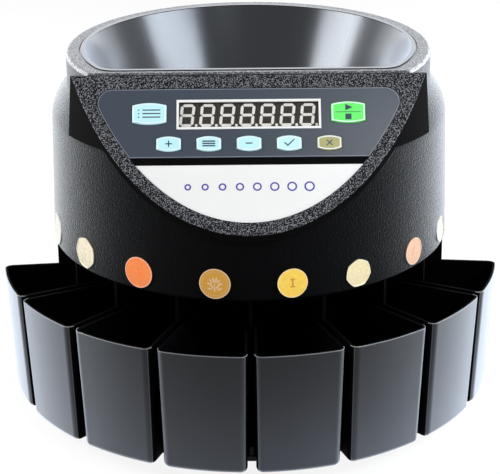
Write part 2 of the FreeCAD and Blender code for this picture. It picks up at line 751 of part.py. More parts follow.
def motor_screw_points():
    quarter = 360.0 / MOTOR_SCREW_COUNT
    places = [direction((number + 0.5) * quarter) * MOTOR_SCREW_CIRCLE for number in range(MOTOR_SCREW_COUNT)]
    return [V(0, 0, BRACKET_TOP) + MOTOR_CENTRE + place for place in places]


def motor():
    body = disc(MOTOR_RADIUS, BRACKET_BOTTOM - MOTOR_LENGTH, BRACKET_BOTTOM, MOTOR_CENTRE)
    boss = disc(MOTOR_BOSS_RADIUS, BRACKET_BOTTOM, BRACKET_TOP, MOTOR_CENTRE)
    body = joined([body, boss])
    bore = MOTOR_SHAFT_RADIUS + RUNNING_FIT
    body = body.cut(disc(bore, BRACKET_BOTTOM - MOTOR_SHAFT_DEPTH - FIT, BRACKET_TOP, MOTOR_CENTRE))
    for point in motor_screw_points():
        body = body.cut(screw_hole(point, UP, MOTOR_SCREW_LENGTH))
    return body


def motor_bracket():
    places = [MOTOR_CENTRE + V(x, y, 0) for x, y in BRACKET_POSTS]
    x_values = [place.x for place in places]
    y_values = [place.y for place in places] + [MOTOR_CENTRE.y + MOTOR_RADIUS - BRACKET_MARGIN]
    plate = block(
        min(x_values) - BRACKET_MARGIN, max(x_values) + BRACKET_MARGIN,
        min(y_values) - BRACKET_MARGIN, max(y_values) + BRACKET_MARGIN,
        BRACKET_BOTTOM, BRACKET_TOP,
    )
    posts = [disc(BRACKET_POST_RADIUS, BRACKET_BOTTOM, DECK_TOP, place) for place in places]
    bracket = joined([plate] + posts)
    bracket = bracket.cut(disc(MOTOR_BOSS_RADIUS, BRACKET_BOTTOM, BRACKET_TOP, MOTOR_CENTRE))
    for point in motor_screw_points():
        bracket = bracket.cut(screw_hole(point, UP, MOTOR_SCREW_LENGTH))
    return bracket


def motor_screws():
    return group([screw(point, UP, MOTOR_SCREW_LENGTH) for point in motor_screw_points()])


# Power supply and main board
def transformer():
    """Laminated core and the coil that passes through it, as two separate solids."""
    out = HOUSING_INSIDE - TRANSFORMER_WALL_GAP - CORE_BLOCK_SIZE[0] / 2
    core_centre = V(-out, TRANSFORMER_Y, PLATE_TOP + CORE_BLOCK_SIZE[2] / 2)
    core = centred_block(CORE_BLOCK_SIZE, core_centre)
    coil = centred_block(COIL_SIZE, core_centre)
    leg = centred_block((CORE_LEG_WIDTH, CORE_BLOCK_SIZE[1], COIL_SIZE[2]), core_centre)
    core = joined([core.cut(coil), leg])
    return core, coil.cut(leg)


BOARD_LOW = PLATE_TOP + STANDOFF_HEIGHT
BOARD_TOP = BOARD_LOW + BOARD_THICKNESS
BOARD_CENTRE = V(HOUSING_INSIDE - BOARD_WALL_GAP - BOARD_LENGTH / 2, BOARD_Y, 0)


def main_board():
    middle = V(0, 0, BOARD_LOW + BOARD_THICKNESS / 2)
    return centred_block((BOARD_LENGTH, BOARD_DEPTH, BOARD_THICKNESS), BOARD_CENTRE + middle)


def board_standoffs():
    x = BOARD_LENGTH / 2 - STANDOFF_INSET
    y = BOARD_DEPTH / 2 - STANDOFF_INSET
    places = [BOARD_CENTRE + V(x * side, y * end, 0) for side in (-1, 1) for end in (-1, 1)]
    return group([disc(STANDOFF_RADIUS, PLATE_TOP, BOARD_LOW, place) for place in places])


def board_components():
    cans = [disc(BOARD_CAN_RADIUS, BOARD_TOP, BOARD_TOP + BOARD_CAN_HEIGHT, BOARD_CENTRE + V(x, y, 0))
            for x, y in CAN_PLACES]
    chips = [centred_block(BOARD_CHIP, BOARD_CENTRE + V(x, y, BOARD_TOP + BOARD_CHIP[2] / 2))
             for x, y in CHIP_PLACES]
    plug_middle = V(PLUG_PLACE[0], PLUG_PLACE[1], BOARD_TOP + BOARD_PLUG[2] / 2)
    plug = centred_block(BOARD_PLUG, BOARD_CENTRE + plug_middle)
    return group(cans + chips + [plug])


# Drum shell
def shoulder_point(radius, angle):
    """Point of the shoulder arc, at an angle above the level."""
    turn = math.radians(angle)
    return V(SHOULDER_CENTRE_R + radius * math.cos(turn), 0, SHOULDER_CENTRE_Z + radius * math.sin(turn))


def shoulder_arc(radius, top_z):
    """Shoulder arc of a radius, from the top of the drum side up to a height."""
    top = math.degrees(math.asin((top_z - SHOULDER_CENTRE_Z) / radius))
    angles = (DRUM_DRAFT, (DRUM_DRAFT + top) / 2, top)
    return Part.Arc(*[shoulder_point(radius, angle) for angle in angles]).toShape()


def drum_solid():
    """The drum's outside as a full solid, up to the hopper seat."""
    arc = shoulder_arc(SHOULDER_RADIUS, SEAT_Z)
    foot = V(DRUM_RADIUS, 0, DECK_TOP)
    low_axis = V(0, 0, DECK_TOP)
    high_axis = V(0, 0, SEAT_Z)
    lines = [Part.makeLine(low_axis, foot), Part.makeLine(foot, arc.Vertexes[0].Point)]
    lines += [arc, Part.makeLine(arc.Vertexes[-1].Point, high_axis), Part.makeLine(high_axis, low_axis)]
    return revolved(lines)


def drum_cavity():
    """The space inside the drum wall, up to the underside of the hopper seat."""
    arc = shoulder_arc(SHOULDER_RADIUS - SHELL_WALL, SEAT_Z - SHELL_WALL)
    foot = V(DRUM_RADIUS - SHELL_WALL, 0, DECK_TOP)
    low_axis = V(0, 0, DECK_TOP)
    high_axis = V(0, 0, SEAT_Z - SHELL_WALL)
    lines = [Part.makeLine(low_axis, foot), Part.makeLine(foot, arc.Vertexes[0].Point)]
    lines += [arc, Part.makeLine(arc.Vertexes[-1].Point, high_axis), Part.makeLine(high_axis, low_axis)]
    return revolved(lines)


def drum_shell():
    opening = disc(SEAT_EDGE - SEAT_WIDTH, SEAT_Z - SHELL_WALL, SEAT_Z)
    shell = drum_solid().cut(drum_cavity()).cut(opening)
    return shell.cut(above_panel(-PANEL_THICKNESS)).cut(on_panel(keypad_room()))


# Hopper
def bowl_wire(offset, height):
    """Round outline with a straight front, moved outwards by an offset."""
    radius = BOWL_RADIUS + offset
    chord = BOWL_CHORD + offset
    corner = BOWL_CORNER + offset
    centre = V(math.sqrt((radius - corner) ** 2 - (chord - corner) ** 2), -chord + corner, height)
    level = V(0, 0, height)
    outward = (centre - level).normalize()
    meets_round = level + outward * radius
    meets_chord = V(centre.x, -chord, height)
    middle = centre + (outward + V(0, -1, 0)).normalize() * corner
    return outline_wire(meets_round, middle, meets_chord, V(0, radius, height))


def outline_wire(meets_round, middle, meets_chord, back):
    """Closed outline, alike on both sides, from the points on its right side and its rearmost point."""
    def mirrored(point):
        return V(-point.x, point.y, point.z)

    return Part.Wire([
        Part.Arc(meets_round, back, mirrored(meets_round)).toShape(),
        Part.Arc(mirrored(meets_round), mirrored(middle), mirrored(meets_chord)).toShape(),
        Part.makeLine(mirrored(meets_chord), meets_chord),
        Part.Arc(meets_chord, middle, meets_round).toShape(),
    ])


def mouth_wire(radius, height):
    """Circle at the foot of the bowl, divided as the outline above it is."""
    top = bowl_wire(0.0, height)
    right = [vertex.Point for vertex in top.Vertexes if vertex.X > 0]
    angles = sorted(math.atan2(point.x, -point.y) for point in right)
    stops = [-angles[1], -angles[0], angles[0], angles[1]]

    def at(turn):
        return V(radius * math.sin(turn), -radius * math.cos(turn), height)

    def arc(start, end):
        return Part.Arc(at(start), at((start + end) / 2), at(end)).toShape()

    back = Part.Arc(at(stops[3]), V(0, radius, height), at(stops[0])).toShape()
    return Part.Wire([back, arc(stops[0], stops[1]), arc(stops[1], stops[2]), arc(stops[2], stops[3])])


def bowl_solid(offset, low, high):
    return Part.makeLoft([mouth_wire(BOWL_MOUTH_RADIUS + offset, low), bowl_wire(offset, high)], True, True)


def rim_band(offset, width, low, high):
    """Band that follows the bowl's outline, between two offsets from it."""
    outer = Part.Face(bowl_wire(offset + width, low)).extrude(V(0, 0, high - low))
    inner = Part.Face(bowl_wire(offset, low)).extrude(V(0, 0, high - low))
    return outer.cut(inner)


def hopper_bowl():
    skirt = HOPPER_RADIUS - COLLAR_WALL
    under = RIM_Z - RIM_THICKNESS
    round_start = V(HOPPER_RADIUS, 0, RIM_Z - RIM_ROUND)
    round_end = V(HOPPER_RADIUS - RIM_ROUND, 0, RIM_Z)
    lean = RIM_ROUND * (1 - math.sqrt(0.5))
    round_middle = V(HOPPER_RADIUS - lean, 0, RIM_Z - lean)
    low_axis = V(0, 0, under)
    high_axis = V(0, 0, RIM_Z)
    corners = [low_axis, V(skirt, 0, under), V(skirt, 0, SEAT_Z), V(HOPPER_RADIUS, 0, SEAT_Z), round_start]
    edges = [Part.makeLine(start, end) for start, end in zip(corners, corners[1:])]
    edges.append(Part.Arc(round_start, round_middle, round_end).toShape())
    edges.append(Part.makeLine(round_end, high_axis))
    edges.append(Part.makeLine(high_axis, low_axis))
    collar = revolved(edges).cut(block(-FAR, FAR, -FAR, -HOPPER_FRONT, SEAT_Z, RIM_Z))
    bead = rim_band(0.0, BEAD_WIDTH, under, RIM_Z + BEAD_HEIGHT)
    groove = rim_band(BEAD_WIDTH, GROOVE_WIDTH, RIM_Z - GROOVE_DEPTH, RIM_Z)
    bowl = joined([collar.cut(groove), bead, bowl_solid(BOWL_WALL, BOWL_FLOOR, RIM_Z)])
    top = Part.Face(bowl_wire(0.0, RIM_Z)).extrude(V(0, 0, BEAD_HEIGHT))
    return bowl.cut(bowl_solid(0.0, BOWL_FLOOR, RIM_Z)).cut(top)


# Sloping control panel, in its own frame: X across, Y up the slope, Z outwards
PANEL_FRAME = FreeCAD.Placement(V(0, -PANEL_EDGE_Y, PANEL_EDGE_Z), FreeCAD.Rotation(V(1, 0, 0), PANEL_TILT))


def on_panel(shape):
    """Copy of a shape that was made in the panel's frame, put in its place on the machine."""
    copy = shape.copy()
    copy.Placement = PANEL_FRAME.multiply(copy.Placement)
    return copy


def above_panel(depth):
    """Everything in front of the hopper and above a plane along the panel at a depth."""
    space = on_panel(block(-FAR, FAR, -FAR, FAR, depth, FAR))
    return space.common(block(-FAR, FAR, -FAR, -PANEL_BACK_Y, 0.0, FAR))


PANEL_SLOPE = math.tan(math.radians(PANEL_DRAFT))


def panel_foot():
    """Height at which the panel's face meets its own drafted side at the front centre."""
    run = PANEL_RADIUS - PANEL_EDGE_Y
    return PANEL_EDGE_Z - run * math.tan(TILT)


PANEL_FOOT_Z = panel_foot()


def panel_radius(height):
    return PANEL_RADIUS - PANEL_SLOPE * (height - PANEL_FOOT_Z)


def panel_cone(inset, low, high):
    return Part.makeCone(panel_radius(low) - inset, panel_radius(high) - inset, high - low, V(0, 0, low))


def panel_ellipse():
    """Half width, half length and centre, up the slope, of the ellipse where the face meets that side."""
    cosine = math.cos(TILT)
    growth = PANEL_SLOPE * math.sin(TILT)
    start = panel_radius(PANEL_EDGE_Z)
    square = cosine ** 2 - growth ** 2
    linear = PANEL_EDGE_Y * cosine - start * growth
    centre = linear / square
    constant = start ** 2 - PANEL_EDGE_Y ** 2 + linear ** 2 / square
    return math.sqrt(constant), math.sqrt(constant / square), centre


def recess_prism(inset, low, high, top, end):
    """Prism over the panel's recess, moved in by an inset, between two distances down the slope."""
    half_width, half_length, centre = panel_ellipse()
    half_width -= RIM_WIDTH + inset
    half_length -= RIM_WIDTH + inset
    middle = V(0, centre, low)
    curve = Part.Ellipse(middle + V(0, half_length, 0), middle + V(half_width, 0, 0), middle)
    face = Part.Face(Part.Wire([curve.toShape()]))
    solid = face.extrude(V(0, 0, high - low))
    return solid.common(block(-FAR, FAR, -end, -top, low, high))


def round_recess_corners(solid, top, radius):
    def upright(edge):
        return max(edge.BoundBox.XLength, edge.BoundBox.YLength) < FIT

    corners = [edge for edge in solid.Edges if upright(edge) and edge.CenterOfMass.y > -top - FIT]
    return solid.makeFillet(radius, corners)


def barrel_face(size, grow, height):
    """Key outline: straight sides, bowed top and bottom."""
    half_width = size[0] / 2 + grow
    half_height = size[1] / 2 + grow
    side = half_height - KEY_CROWN
    top_left = V(-half_width, side, height)
    top_right = V(half_width, side, height)
    low_left = V(-half_width, -side, height)
    low_right = V(half_width, -side, height)
    return Part.Face(Part.Wire([
        Part.Arc(top_left, V(0, half_height, height), top_right).toShape(),
        Part.makeLine(top_right, low_right),
        Part.Arc(low_right, V(0, -half_height, height), low_left).toShape(),
        Part.makeLine(low_left, top_left),
    ]))


def barrel(size, grow, low, high, centre):
    solid = barrel_face(size, grow, low).extrude(V(0, 0, high - low))
    solid.translate(V(centre[0], centre[1], 0))
    return solid


def key_places():
    """Name, size and centre in the panel's frame of every key."""
    places = [("key_report", KEY_LARGE, (-LARGE_KEY_X, -KEY_CENTRE_LARGE))]
    middle = (len(SMALL_KEYS) - 1) / 2
    for number, name in enumerate(SMALL_KEYS):
        places.append((name, KEY_SMALL, ((number - middle) * SMALL_KEY_PITCH, -KEY_CENTRE_SMALL)))
    places.append(("key_start_stop", KEY_LARGE, (LARGE_KEY_X, -KEY_CENTRE_LARGE)))
    return places


def display_block(grow, low, high):
    """Block over the display frame's outline, moved outwards by an amount."""
    half_width = FRAME_WIDTH / 2 + grow
    half_height = FRAME_HEIGHT / 2 + grow
    return block(-half_width, half_width, -FRAME_CENTRE - half_height, -FRAME_CENTRE + half_height, low, high)


KEYBOARD_TOP_Z = -KEYBOARD_DEPTH
KEYBOARD_LOW_Z = -KEYBOARD_DEPTH - BOARD_THICKNESS


def keypad_room():
    """Space behind the panel that the keys, their switches and their board need."""
    low = KEYBOARD_LOW_Z - KEYBOARD_ROOM
    end = -KEYBOARD_END - KEYBOARD_ROOM
    top = -KEYBOARD_TOP + KEYBOARD_ROOM
    key_half = LARGE_KEY_X + KEY_LARGE[0] / 2 + KEY_FLANGE + KEYBOARD_ROOM
    board_half = KEYBOARD_HALF_WIDTH + KEYBOARD_ROOM
    keys = block(-key_half, key_half, end, top, low, -PANEL_THICKNESS)
    return keys.fuse(block(-board_half, board_half, end, top, low, KEYBOARD_TOP_Z + KEYBOARD_ROOM))


def panel_bosses():
    x = KEYBOARD_HALF_WIDTH - KEYBOARD_BOSS_INSET
    top = -KEYBOARD_TOP - KEYBOARD_BOSS_INSET
    end = -KEYBOARD_END + KEYBOARD_BOSS_INSET
    places = [V(x * side, y, 0) for side in (-1, 1) for y in (top, end)]
    return [disc(KEYBOARD_BOSS_RADIUS, KEYBOARD_TOP_Z, -PANEL_THICKNESS, place) for place in places]


def control_panel():
    reach = PANEL_RADIUS * 2
    plate = on_panel(block(-reach, reach, -reach, reach, -PANEL_THICKNESS, 0.0))
    front = block(-reach, reach, -reach, -PANEL_BACK_Y, DECK_TOP, PANEL_EDGE_Z)
    plate = plate.common(front).common(panel_cone(0.0, DECK_TOP, PANEL_EDGE_Z))
    low = SHOULDER_BASE + SKIRT_START
    skirt = panel_cone(0.0, low, PANEL_EDGE_Z).cut(panel_cone(PANEL_SKIRT, low, PANEL_EDGE_Z)).common(front)
    back = -PANEL_BACK_Y
    corner_start = math.sqrt(SEAT_EDGE ** 2 - (PANEL_BACK_Y + PANEL_SKIRT) ** 2)
    corner = block(corner_start, reach, back - PANEL_SKIRT, back, low, PANEL_EDGE_Z)
    corners = corner.fuse(corner.mirror(V(0, 0, 0), V(1, 0, 0))).common(panel_cone(0.0, low, PANEL_EDGE_Z))
    walls = skirt.fuse(corners).cut(drum_solid()).cut(disc(SEAT_EDGE, low, PANEL_EDGE_Z))
    walls = walls.cut(above_panel(-PANEL_THICKNESS))
    panel = joined([plate, walls] + [on_panel(boss) for boss in panel_bosses()])
    recess = recess_prism(0.0, -RECESS_DEPTH, RECESS_DEPTH, RIM_TOP, FAR)
    cuts = [round_recess_corners(recess, RIM_TOP, RECESS_CORNER)]
    cuts.append(display_block(FIT, -POCKET_DEPTH, 0.0))
    cuts.append(display_block(-WINDOW_LEDGE, -PANEL_THICKNESS, 0.0))
    cuts += [barrel(size, KEY_FIT, -PANEL_THICKNESS, 0.0, centre) for name, size, centre in key_places()]
    for cut in cuts:
        panel = panel.cut(on_panel(cut))
    return panel


OVERLAY_TOP = -RECESS_DEPTH + OVERLAY_THICKNESS


def keypad_overlay():
    sheet = recess_prism(FIT, -RECESS_DEPTH, OVERLAY_TOP, RIM_TOP + FIT, OVERLAY_END)
    sheet = round_recess_corners(sheet, RIM_TOP + FIT, RECESS_CORNER)
    sheet = sheet.cut(display_block(FIT, -RECESS_DEPTH, OVERLAY_TOP))
    for name, size, centre in key_places():
        sheet = sheet.cut(barrel(size, KEY_FIT, -RECESS_DEPTH, OVERLAY_TOP, centre))
    return on_panel(sheet)


def nameplate():
    return on_panel(recess_prism(FIT, -RECESS_DEPTH, OVERLAY_TOP, NAMEPLATE_START, FAR))


WINDOW_TOP = -POCKET_DEPTH + WINDOW_THICKNESS
MODULE_TOP = -POCKET_DEPTH - SEGMENT_THICKNESS - MODULE_SETBACK


def display_window():
    return on_panel(display_block(0.0, -POCKET_DEPTH, WINDOW_TOP))


def display_frame():
    frame = display_block(0.0, WINDOW_TOP, FRAME_PROUD)
    return on_panel(frame.cut(display_block(-FRAME_BORDER, WINDOW_TOP, FRAME_PROUD)))


def digit_centres():
    middle = (DIGIT_COUNT - 1) / 2
    return [V((number - middle) * DIGIT_PITCH, -FRAME_CENTRE, 0) for number in range(DIGIT_COUNT)]


def digit_modules():
    half_width = DIGIT_PITCH / 2 - MODULE_GAP / 2
    half_height = FRAME_HEIGHT / 2 - WINDOW_LEDGE - FIT
    module = block(-half_width, half_width, -half_height, half_height, KEYBOARD_TOP_Z, MODULE_TOP)
    modules = []
    for centre in digit_centres():
        copy = module.copy()
        copy.translate(centre)
        modules.append(on_panel(copy))
    return group(modules)


def segment_bar(start, end):
    """Flat bar with pointed ends between two points of a digit."""
    along = (end - start).normalize()
    across = V(-along.y, along.x, 0) * (SEGMENT_WIDTH / 2)
    first = start + along * SEGMENT_GAP
    last = end - along * SEGMENT_GAP
    shoulder = along * (SEGMENT_WIDTH / 2)
    points = [first, first + shoulder + across, last - shoulder + across]
    points += [last, last - shoulder - across, first + shoulder - across]
    return prism(points, MODULE_TOP, MODULE_TOP + SEGMENT_THICKNESS)


def digit_segments():
    half_width = (DIGIT_WIDTH - SEGMENT_WIDTH) / 2
    half_height = (DIGIT_HEIGHT - SEGMENT_WIDTH) / 2
    lean = math.tan(math.radians(DIGIT_SLANT))

    def node(side, level):
        height = level * half_height
        return V(side * half_width + lean * height, height, 0)

    ends = [((-1, 1), (1, 1)), ((-1, 0), (1, 0)), ((-1, -1), (1, -1))]
    ends += [((side, level), (side, level - 1)) for side in (-1, 1) for level in (1, 0)]
    bars = [segment_bar(node(*start), node(*end)) for start, end in ends]
    dot_centre = node(1, -1) + V(SEGMENT_WIDTH * 3 / 2, 0, 0)
    bars.append(disc(SEGMENT_WIDTH / 2, MODULE_TOP, MODULE_TOP + SEGMENT_THICKNESS, dot_centre))
    pieces = []
    for centre in digit_centres():
        for bar in bars:
            copy = bar.copy()
            copy.translate(centre - V(SEGMENT_WIDTH / 2, 0, 0))
            pieces.append(on_panel(copy))
    return group(pieces)


FLANGE_TOP = -PANEL_THICKNESS - KEY_REST_GAP
FLANGE_LOW = FLANGE_TOP - KEY_FLANGE_THICKNESS
SWITCH_TOP = FLANGE_LOW - KEY_TRAVEL - TOUCH_GAP
STEM_END = FLANGE_LOW - STEM_LENGTH


def key(size, centre):
    cap = barrel_face(size, 0.0, FLANGE_LOW).extrude(V(0, 0, KEY_PROUD - FLANGE_LOW))
    top_edges = [edge for edge in cap.Edges if edge.BoundBox.ZMin > KEY_PROUD - KEY_EDGE / 2]
    cap = cap.makeChamfer(KEY_EDGE, top_edges)
    flange = barrel_face(size, KEY_FLANGE, FLANGE_LOW).extrude(V(0, 0, KEY_FLANGE_THICKNESS))
    stem = disc(STEM_RADIUS, STEM_END, FLANGE_LOW)
    whole = joined([cap, flange, stem])
    whole.translate(V(centre[0], centre[1], 0))
    return on_panel(whole)


def add_keys(parts):
    for name, size, centre in key_places():
        parts[name] = key(size, centre)


def keypad_board():
    half = KEYBOARD_HALF_WIDTH
    return on_panel(block(-half, half, -KEYBOARD_END, -KEYBOARD_TOP, KEYBOARD_LOW_Z, KEYBOARD_TOP_Z))


def key_switches():
    half = SWITCH_SIZE / 2
    body = block(-half, half, -half, half, KEYBOARD_TOP_Z, SWITCH_TOP)
    well = disc(STEM_RADIUS + FIT, STEM_END - KEY_TRAVEL - TOUCH_GAP, SWITCH_TOP)
    body = body.cut(well)
    switches = []
    for name, size, centre in key_places():
        copy = body.copy()
        copy.translate(V(centre[0], centre[1], 0))
        switches.append(on_panel(copy))
    return group(switches)


# Coin badges
def badge_shell():
    """Thin skin over the drum side, from which the badges are cut."""
    top = DECK_TOP + max(BADGE_LIFTS) + BADGE_LARGEST + BADGE_THICKNESS
    low_radius = DRUM_RADIUS
    high_radius = drum_radius(top)
    inner = [(low_radius, DECK_TOP), (high_radius, top)]
    outer = [(radius + BADGE_THICKNESS, height) for radius, height in reversed(inner)]
    return revolved(profile(inner + outer))


def sided_face(centre, radius, roll):
    """Coin outline of even width: each of its sides is an arc about the corner opposite."""
    half_side = math.pi / BADGE_SIDES
    bulge = radius * (2 * math.cos(half_side / 2) - 1)

    def point(turn, reach):
        return centre + V(math.sin(turn), 0, -math.cos(turn)) * reach

    sides = []
    for side in range(BADGE_SIDES):
        first = math.radians(roll) + 2 * half_side * side
        ends = [point(turn, radius) for turn in (first, first + 2 * half_side)]
        sides.append(Part.Arc(ends[0], point(first + half_side, bulge), ends[1]).toShape())
    return Part.Face(Part.Wire(sides))


def badge(number, skin):
    """A badge cut from the skin, a little off the middle of its cup."""
    radius = (BADGE_LARGEST - BADGE_STEP * number) / 2
    level = DECK_TOP + BADGE_LIFTS[number] + radius
    depth = DRUM_RADIUS / 2
    centre = V(0, -DRUM_RADIUS - depth / 2, level)
    if BADGE_OUTLINES[number] == "sided":
        punch = sided_face(centre, radius, BADGE_ROLLS[number]).extrude(V(0, depth, 0))
    else:
        punch = Part.makeCylinder(radius, depth, centre, V(0, 1, 0))
    return turned(skin.common(punch), CUP_ANGLES[number] + BADGE_SHIFTS[number])


def add_badges(parts):
    skin = badge_shell()
    badges = [badge(number, skin) for number in range(CUP_COUNT)]
    for metal in dict.fromkeys(BADGE_METALS):
        parts["badges_" + metal] = group([one for one, kind in zip(badges, BADGE_METALS) if kind == metal])


# Rear panel and its fittings
FITTING_LEVEL = PLATE_TOP + FITTING_Z


def rear_block(size, x, height, outer_y):
    """Block of width, height and depth that runs inwards from a plane behind the machine."""
    width, tall, depth = size
    return block(x - width / 2, x + width / 2, outer_y - depth, outer_y, height - tall / 2, height + tall / 2)


FUSE_LEVEL = FITTING_LEVEL - FUSE_DROP
PORT_LEVEL = FITTING_LEVEL + PORT_RISE - FUSE_DROP


def rear_panel():
    half = POD_INSIDE - FIT
    panel = block(-half, half, REAR_PANEL_INNER, REAR_REACH, PLATE_TOP, POD_TOP - HOUSING_WALL - FIT)
    through = REAR_PANEL_THICKNESS * 2
    outer = REAR_REACH + REAR_PANEL_THICKNESS
    fittings = [(INLET_BODY, INLET_X, FITTING_LEVEL), (SWITCH_BODY, SWITCH_X, FITTING_LEVEL)]
    fittings.append((PORT_SIZE, PORT_X, PORT_LEVEL))
    for size, x, level in fittings:
        panel = panel.cut(rear_block((size[0] + FIT, size[1] + FIT, through), x, level, outer))
    fuse_centre = V(FUSE_X, REAR_PANEL_INNER, FUSE_LEVEL)
    panel = panel.cut(Part.makeCylinder(FUSE_RADIUS + FIT, REAR_PANEL_THICKNESS, fuse_centre, V(0, 1, 0)))
    for boss in pod_boss_centres():
        panel = panel.cut(Part.makeCylinder(SCREW_RADIUS, REAR_PANEL_THICKNESS, boss, V(0, 1, 0)))
    return panel


def power_inlet():
    flange_outer = REAR_REACH + INLET_FLANGE[2]
    flange = rear_block(INLET_FLANGE, INLET_X, FITTING_LEVEL, flange_outer)
    body = rear_block(INLET_BODY, INLET_X, FITTING_LEVEL, REAR_REACH)
    inlet = joined([flange, body])
    return inlet.cut(rear_block(INLET_CAVITY, INLET_X, FITTING_LEVEL, flange_outer))


def inlet_pins():
    floor = REAR_REACH + INLET_FLANGE[2] - INLET_CAVITY[2]
    outer = floor + INLET_PIN[1]
    places = [(0.0, INLET_PIN_RISE)]
    places += [(side * INLET_PIN_SPREAD, -INLET_PIN_RISE) for side in (-1, 1)]
    size = (INLET_PIN[0], INLET_PIN[2], INLET_PIN[1])
    return group([rear_block(size, INLET_X + x, FITTING_LEVEL + z, outer) for x, z in places])


ROCKER_PIVOT = V(SWITCH_X, REAR_REACH - ROCKER_PIVOT_DEPTH, FITTING_LEVEL)
SWITCH_HOLLOW = (SWITCH_BODY[0] - 2 * SWITCH_WALL, SWITCH_BODY[1] - 2 * SWITCH_WALL)
ROCKER_RADIUS = SWITCH_HOLLOW[1] / 2 - ROCKER_SIDE_GAP
ROCKER_WIDTH = SWITCH_HOLLOW[0] - 2 * ROCKER_SIDE_GAP


def along_x(radius, length, centre):
    return Part.makeCylinder(radius, length, centre - V(length / 2, 0, 0), V(1, 0, 0))


def switch_frame():
    outer = REAR_REACH + SWITCH_FLANGE[2]
    frame = joined([
        rear_block(SWITCH_FLANGE, SWITCH_X, FITTING_LEVEL, outer),
        rear_block(SWITCH_BODY, SWITCH_X, FITTING_LEVEL, REAR_REACH),
    ])
    depth = SWITCH_FLANGE[2] + SWITCH_BODY[2] - SWITCH_WALL
    hollow = rear_block((SWITCH_HOLLOW[0], SWITCH_HOLLOW[1], depth), SWITCH_X, FITTING_LEVEL, outer)
    pin_length = ROCKER_WIDTH + 2 * ROCKER_PIN_SINK + FIT
    pin_hole = along_x(ROCKER_PIN_RADIUS + RUNNING_FIT, pin_length, ROCKER_PIVOT)
    return frame.cut(hollow).cut(pin_hole)


def switch_rocker():
    """Part of a cylinder about its pivot, with two flats that meet in a shallow valley."""
    body = along_x(ROCKER_RADIUS, ROCKER_WIDTH, ROCKER_PIVOT)
    inward = ROCKER_PIVOT - V(0, ROCKER_PIVOT_DEPTH, 0)
    body = body.cut(block(-FAR, FAR, -FAR, inward.y, -FAR, FAR))
    valley = REAR_REACH + SWITCH_FLANGE[2] - ROCKER_PIVOT.y
    for side in (-1, 1):
        cutter = block(-FAR, FAR, 0.0, FAR, min(0.0, side * FAR), max(0.0, side * FAR))
        cutter.rotate(V(0, 0, 0), V(1, 0, 0), -side * ROCKER_TILT)
        cutter.translate(ROCKER_PIVOT + V(0, valley, 0))
        body = body.cut(cutter)
    pin = along_x(ROCKER_PIN_RADIUS, ROCKER_WIDTH + 2 * ROCKER_PIN_SINK, ROCKER_PIVOT)
    rocker = joined([body, pin])
    rocker.rotate(ROCKER_PIVOT, V(1, 0, 0), ROCKER_TILT)
    return rocker


def fuse_holder():
    seat = V(FUSE_X, REAR_REACH, FUSE_LEVEL)
    body = Part.makeCylinder(FUSE_RADIUS, FUSE_LENGTH, seat, V(0, -1, 0))
    cap = Part.makeCylinder(FUSE_CAP_RADIUS, FUSE_CAP_HEIGHT, seat, V(0, 1, 0))
    rim = [edge for edge in cap.Edges if edge.BoundBox.YMin > REAR_REACH + FUSE_CAP_HEIGHT / 2]
    return joined([body, cap.makeChamfer(FUSE_CAP_CHAMFER, rim)])


def printer_port():
    outer = REAR_REACH + FIT
    port = rear_block(PORT_SIZE, PORT_X, PORT_LEVEL, outer)
    return port.cut(rear_block(PORT_CAVITY, PORT_X, PORT_LEVEL, outer))


# The whole machine
def build():
    parts = {
        "base_plate": base_plate(),
        "rubber_feet": rubber_feet(),
        "lower_housing": lower_housing(),
        "case_screws": case_screws(),
        "chute_deck": chute_deck(),
        "sorting_plate": sorting_plate(),
        "track_rail": track_rail(),
        "coin_sensors": coin_sensors(),
        "feed_disc": feed_disc(),
        "hub_cap": hub_cap(),
        "drive_shaft": drive_shaft(),
        "bearing_housing": bearing_housing(),
        "ball_bearings": ball_bearings(),
        "drive_gear": drive_gear(),
        "motor_pinion": motor_pinion(),
        "motor": motor(),
        "motor_bracket": motor_bracket(),
        "motor_screws": motor_screws(),
        "main_board": main_board(),
        "board_standoffs": board_standoffs(),
        "board_components": board_components(),
        "drum_shell": drum_shell(),
        "hopper_bowl": hopper_bowl(),
        "control_panel": control_panel(),
        "keypad_overlay": keypad_overlay(),
        "nameplate": nameplate(),
        "display_window": display_window(),
        "display_frame": display_frame(),
        "digit_modules": digit_modules(),
        "digit_segments": digit_segments(),
        "keypad_board": keypad_board(),
        "key_switches": key_switches(),
        "rear_panel": rear_panel(),
        "power_inlet": power_inlet(),
        "inlet_pins": inlet_pins(),
        "switch_frame": switch_frame(),
        "switch_rocker": switch_rocker(),
        "fuse_holder": fuse_holder(),
        "printer_port": printer_port(),
    }
    parts["transformer_core"], parts["transformer_coil"] = transformer()
    add_cups(parts)
    add_keys(parts)
    add_badges(parts)
    return parts


def main():
    os.makedirs("parts", exist_ok=True)
    for name, shape in build().items():
        shape.translate(V(0, AXIS_Y, 0))
        shape.exportStep("parts/%s.step" % name)
        valid = "valid" if shape.isValid() else "NOT VALID"
        print("%-18s %2d solids %10.1f mm3 %s" % (name, len(shape.Solids), shape.Volume, valid))


main()
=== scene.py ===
"""Looks of a desktop coin sorter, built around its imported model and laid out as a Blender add-on."""
import json
import math

import bmesh
import bpy
from bpy.props import FloatProperty, FloatVectorProperty, PointerProperty
from mathutils import Matrix, Vector
from mathutils.geometry import convex_hull_2d


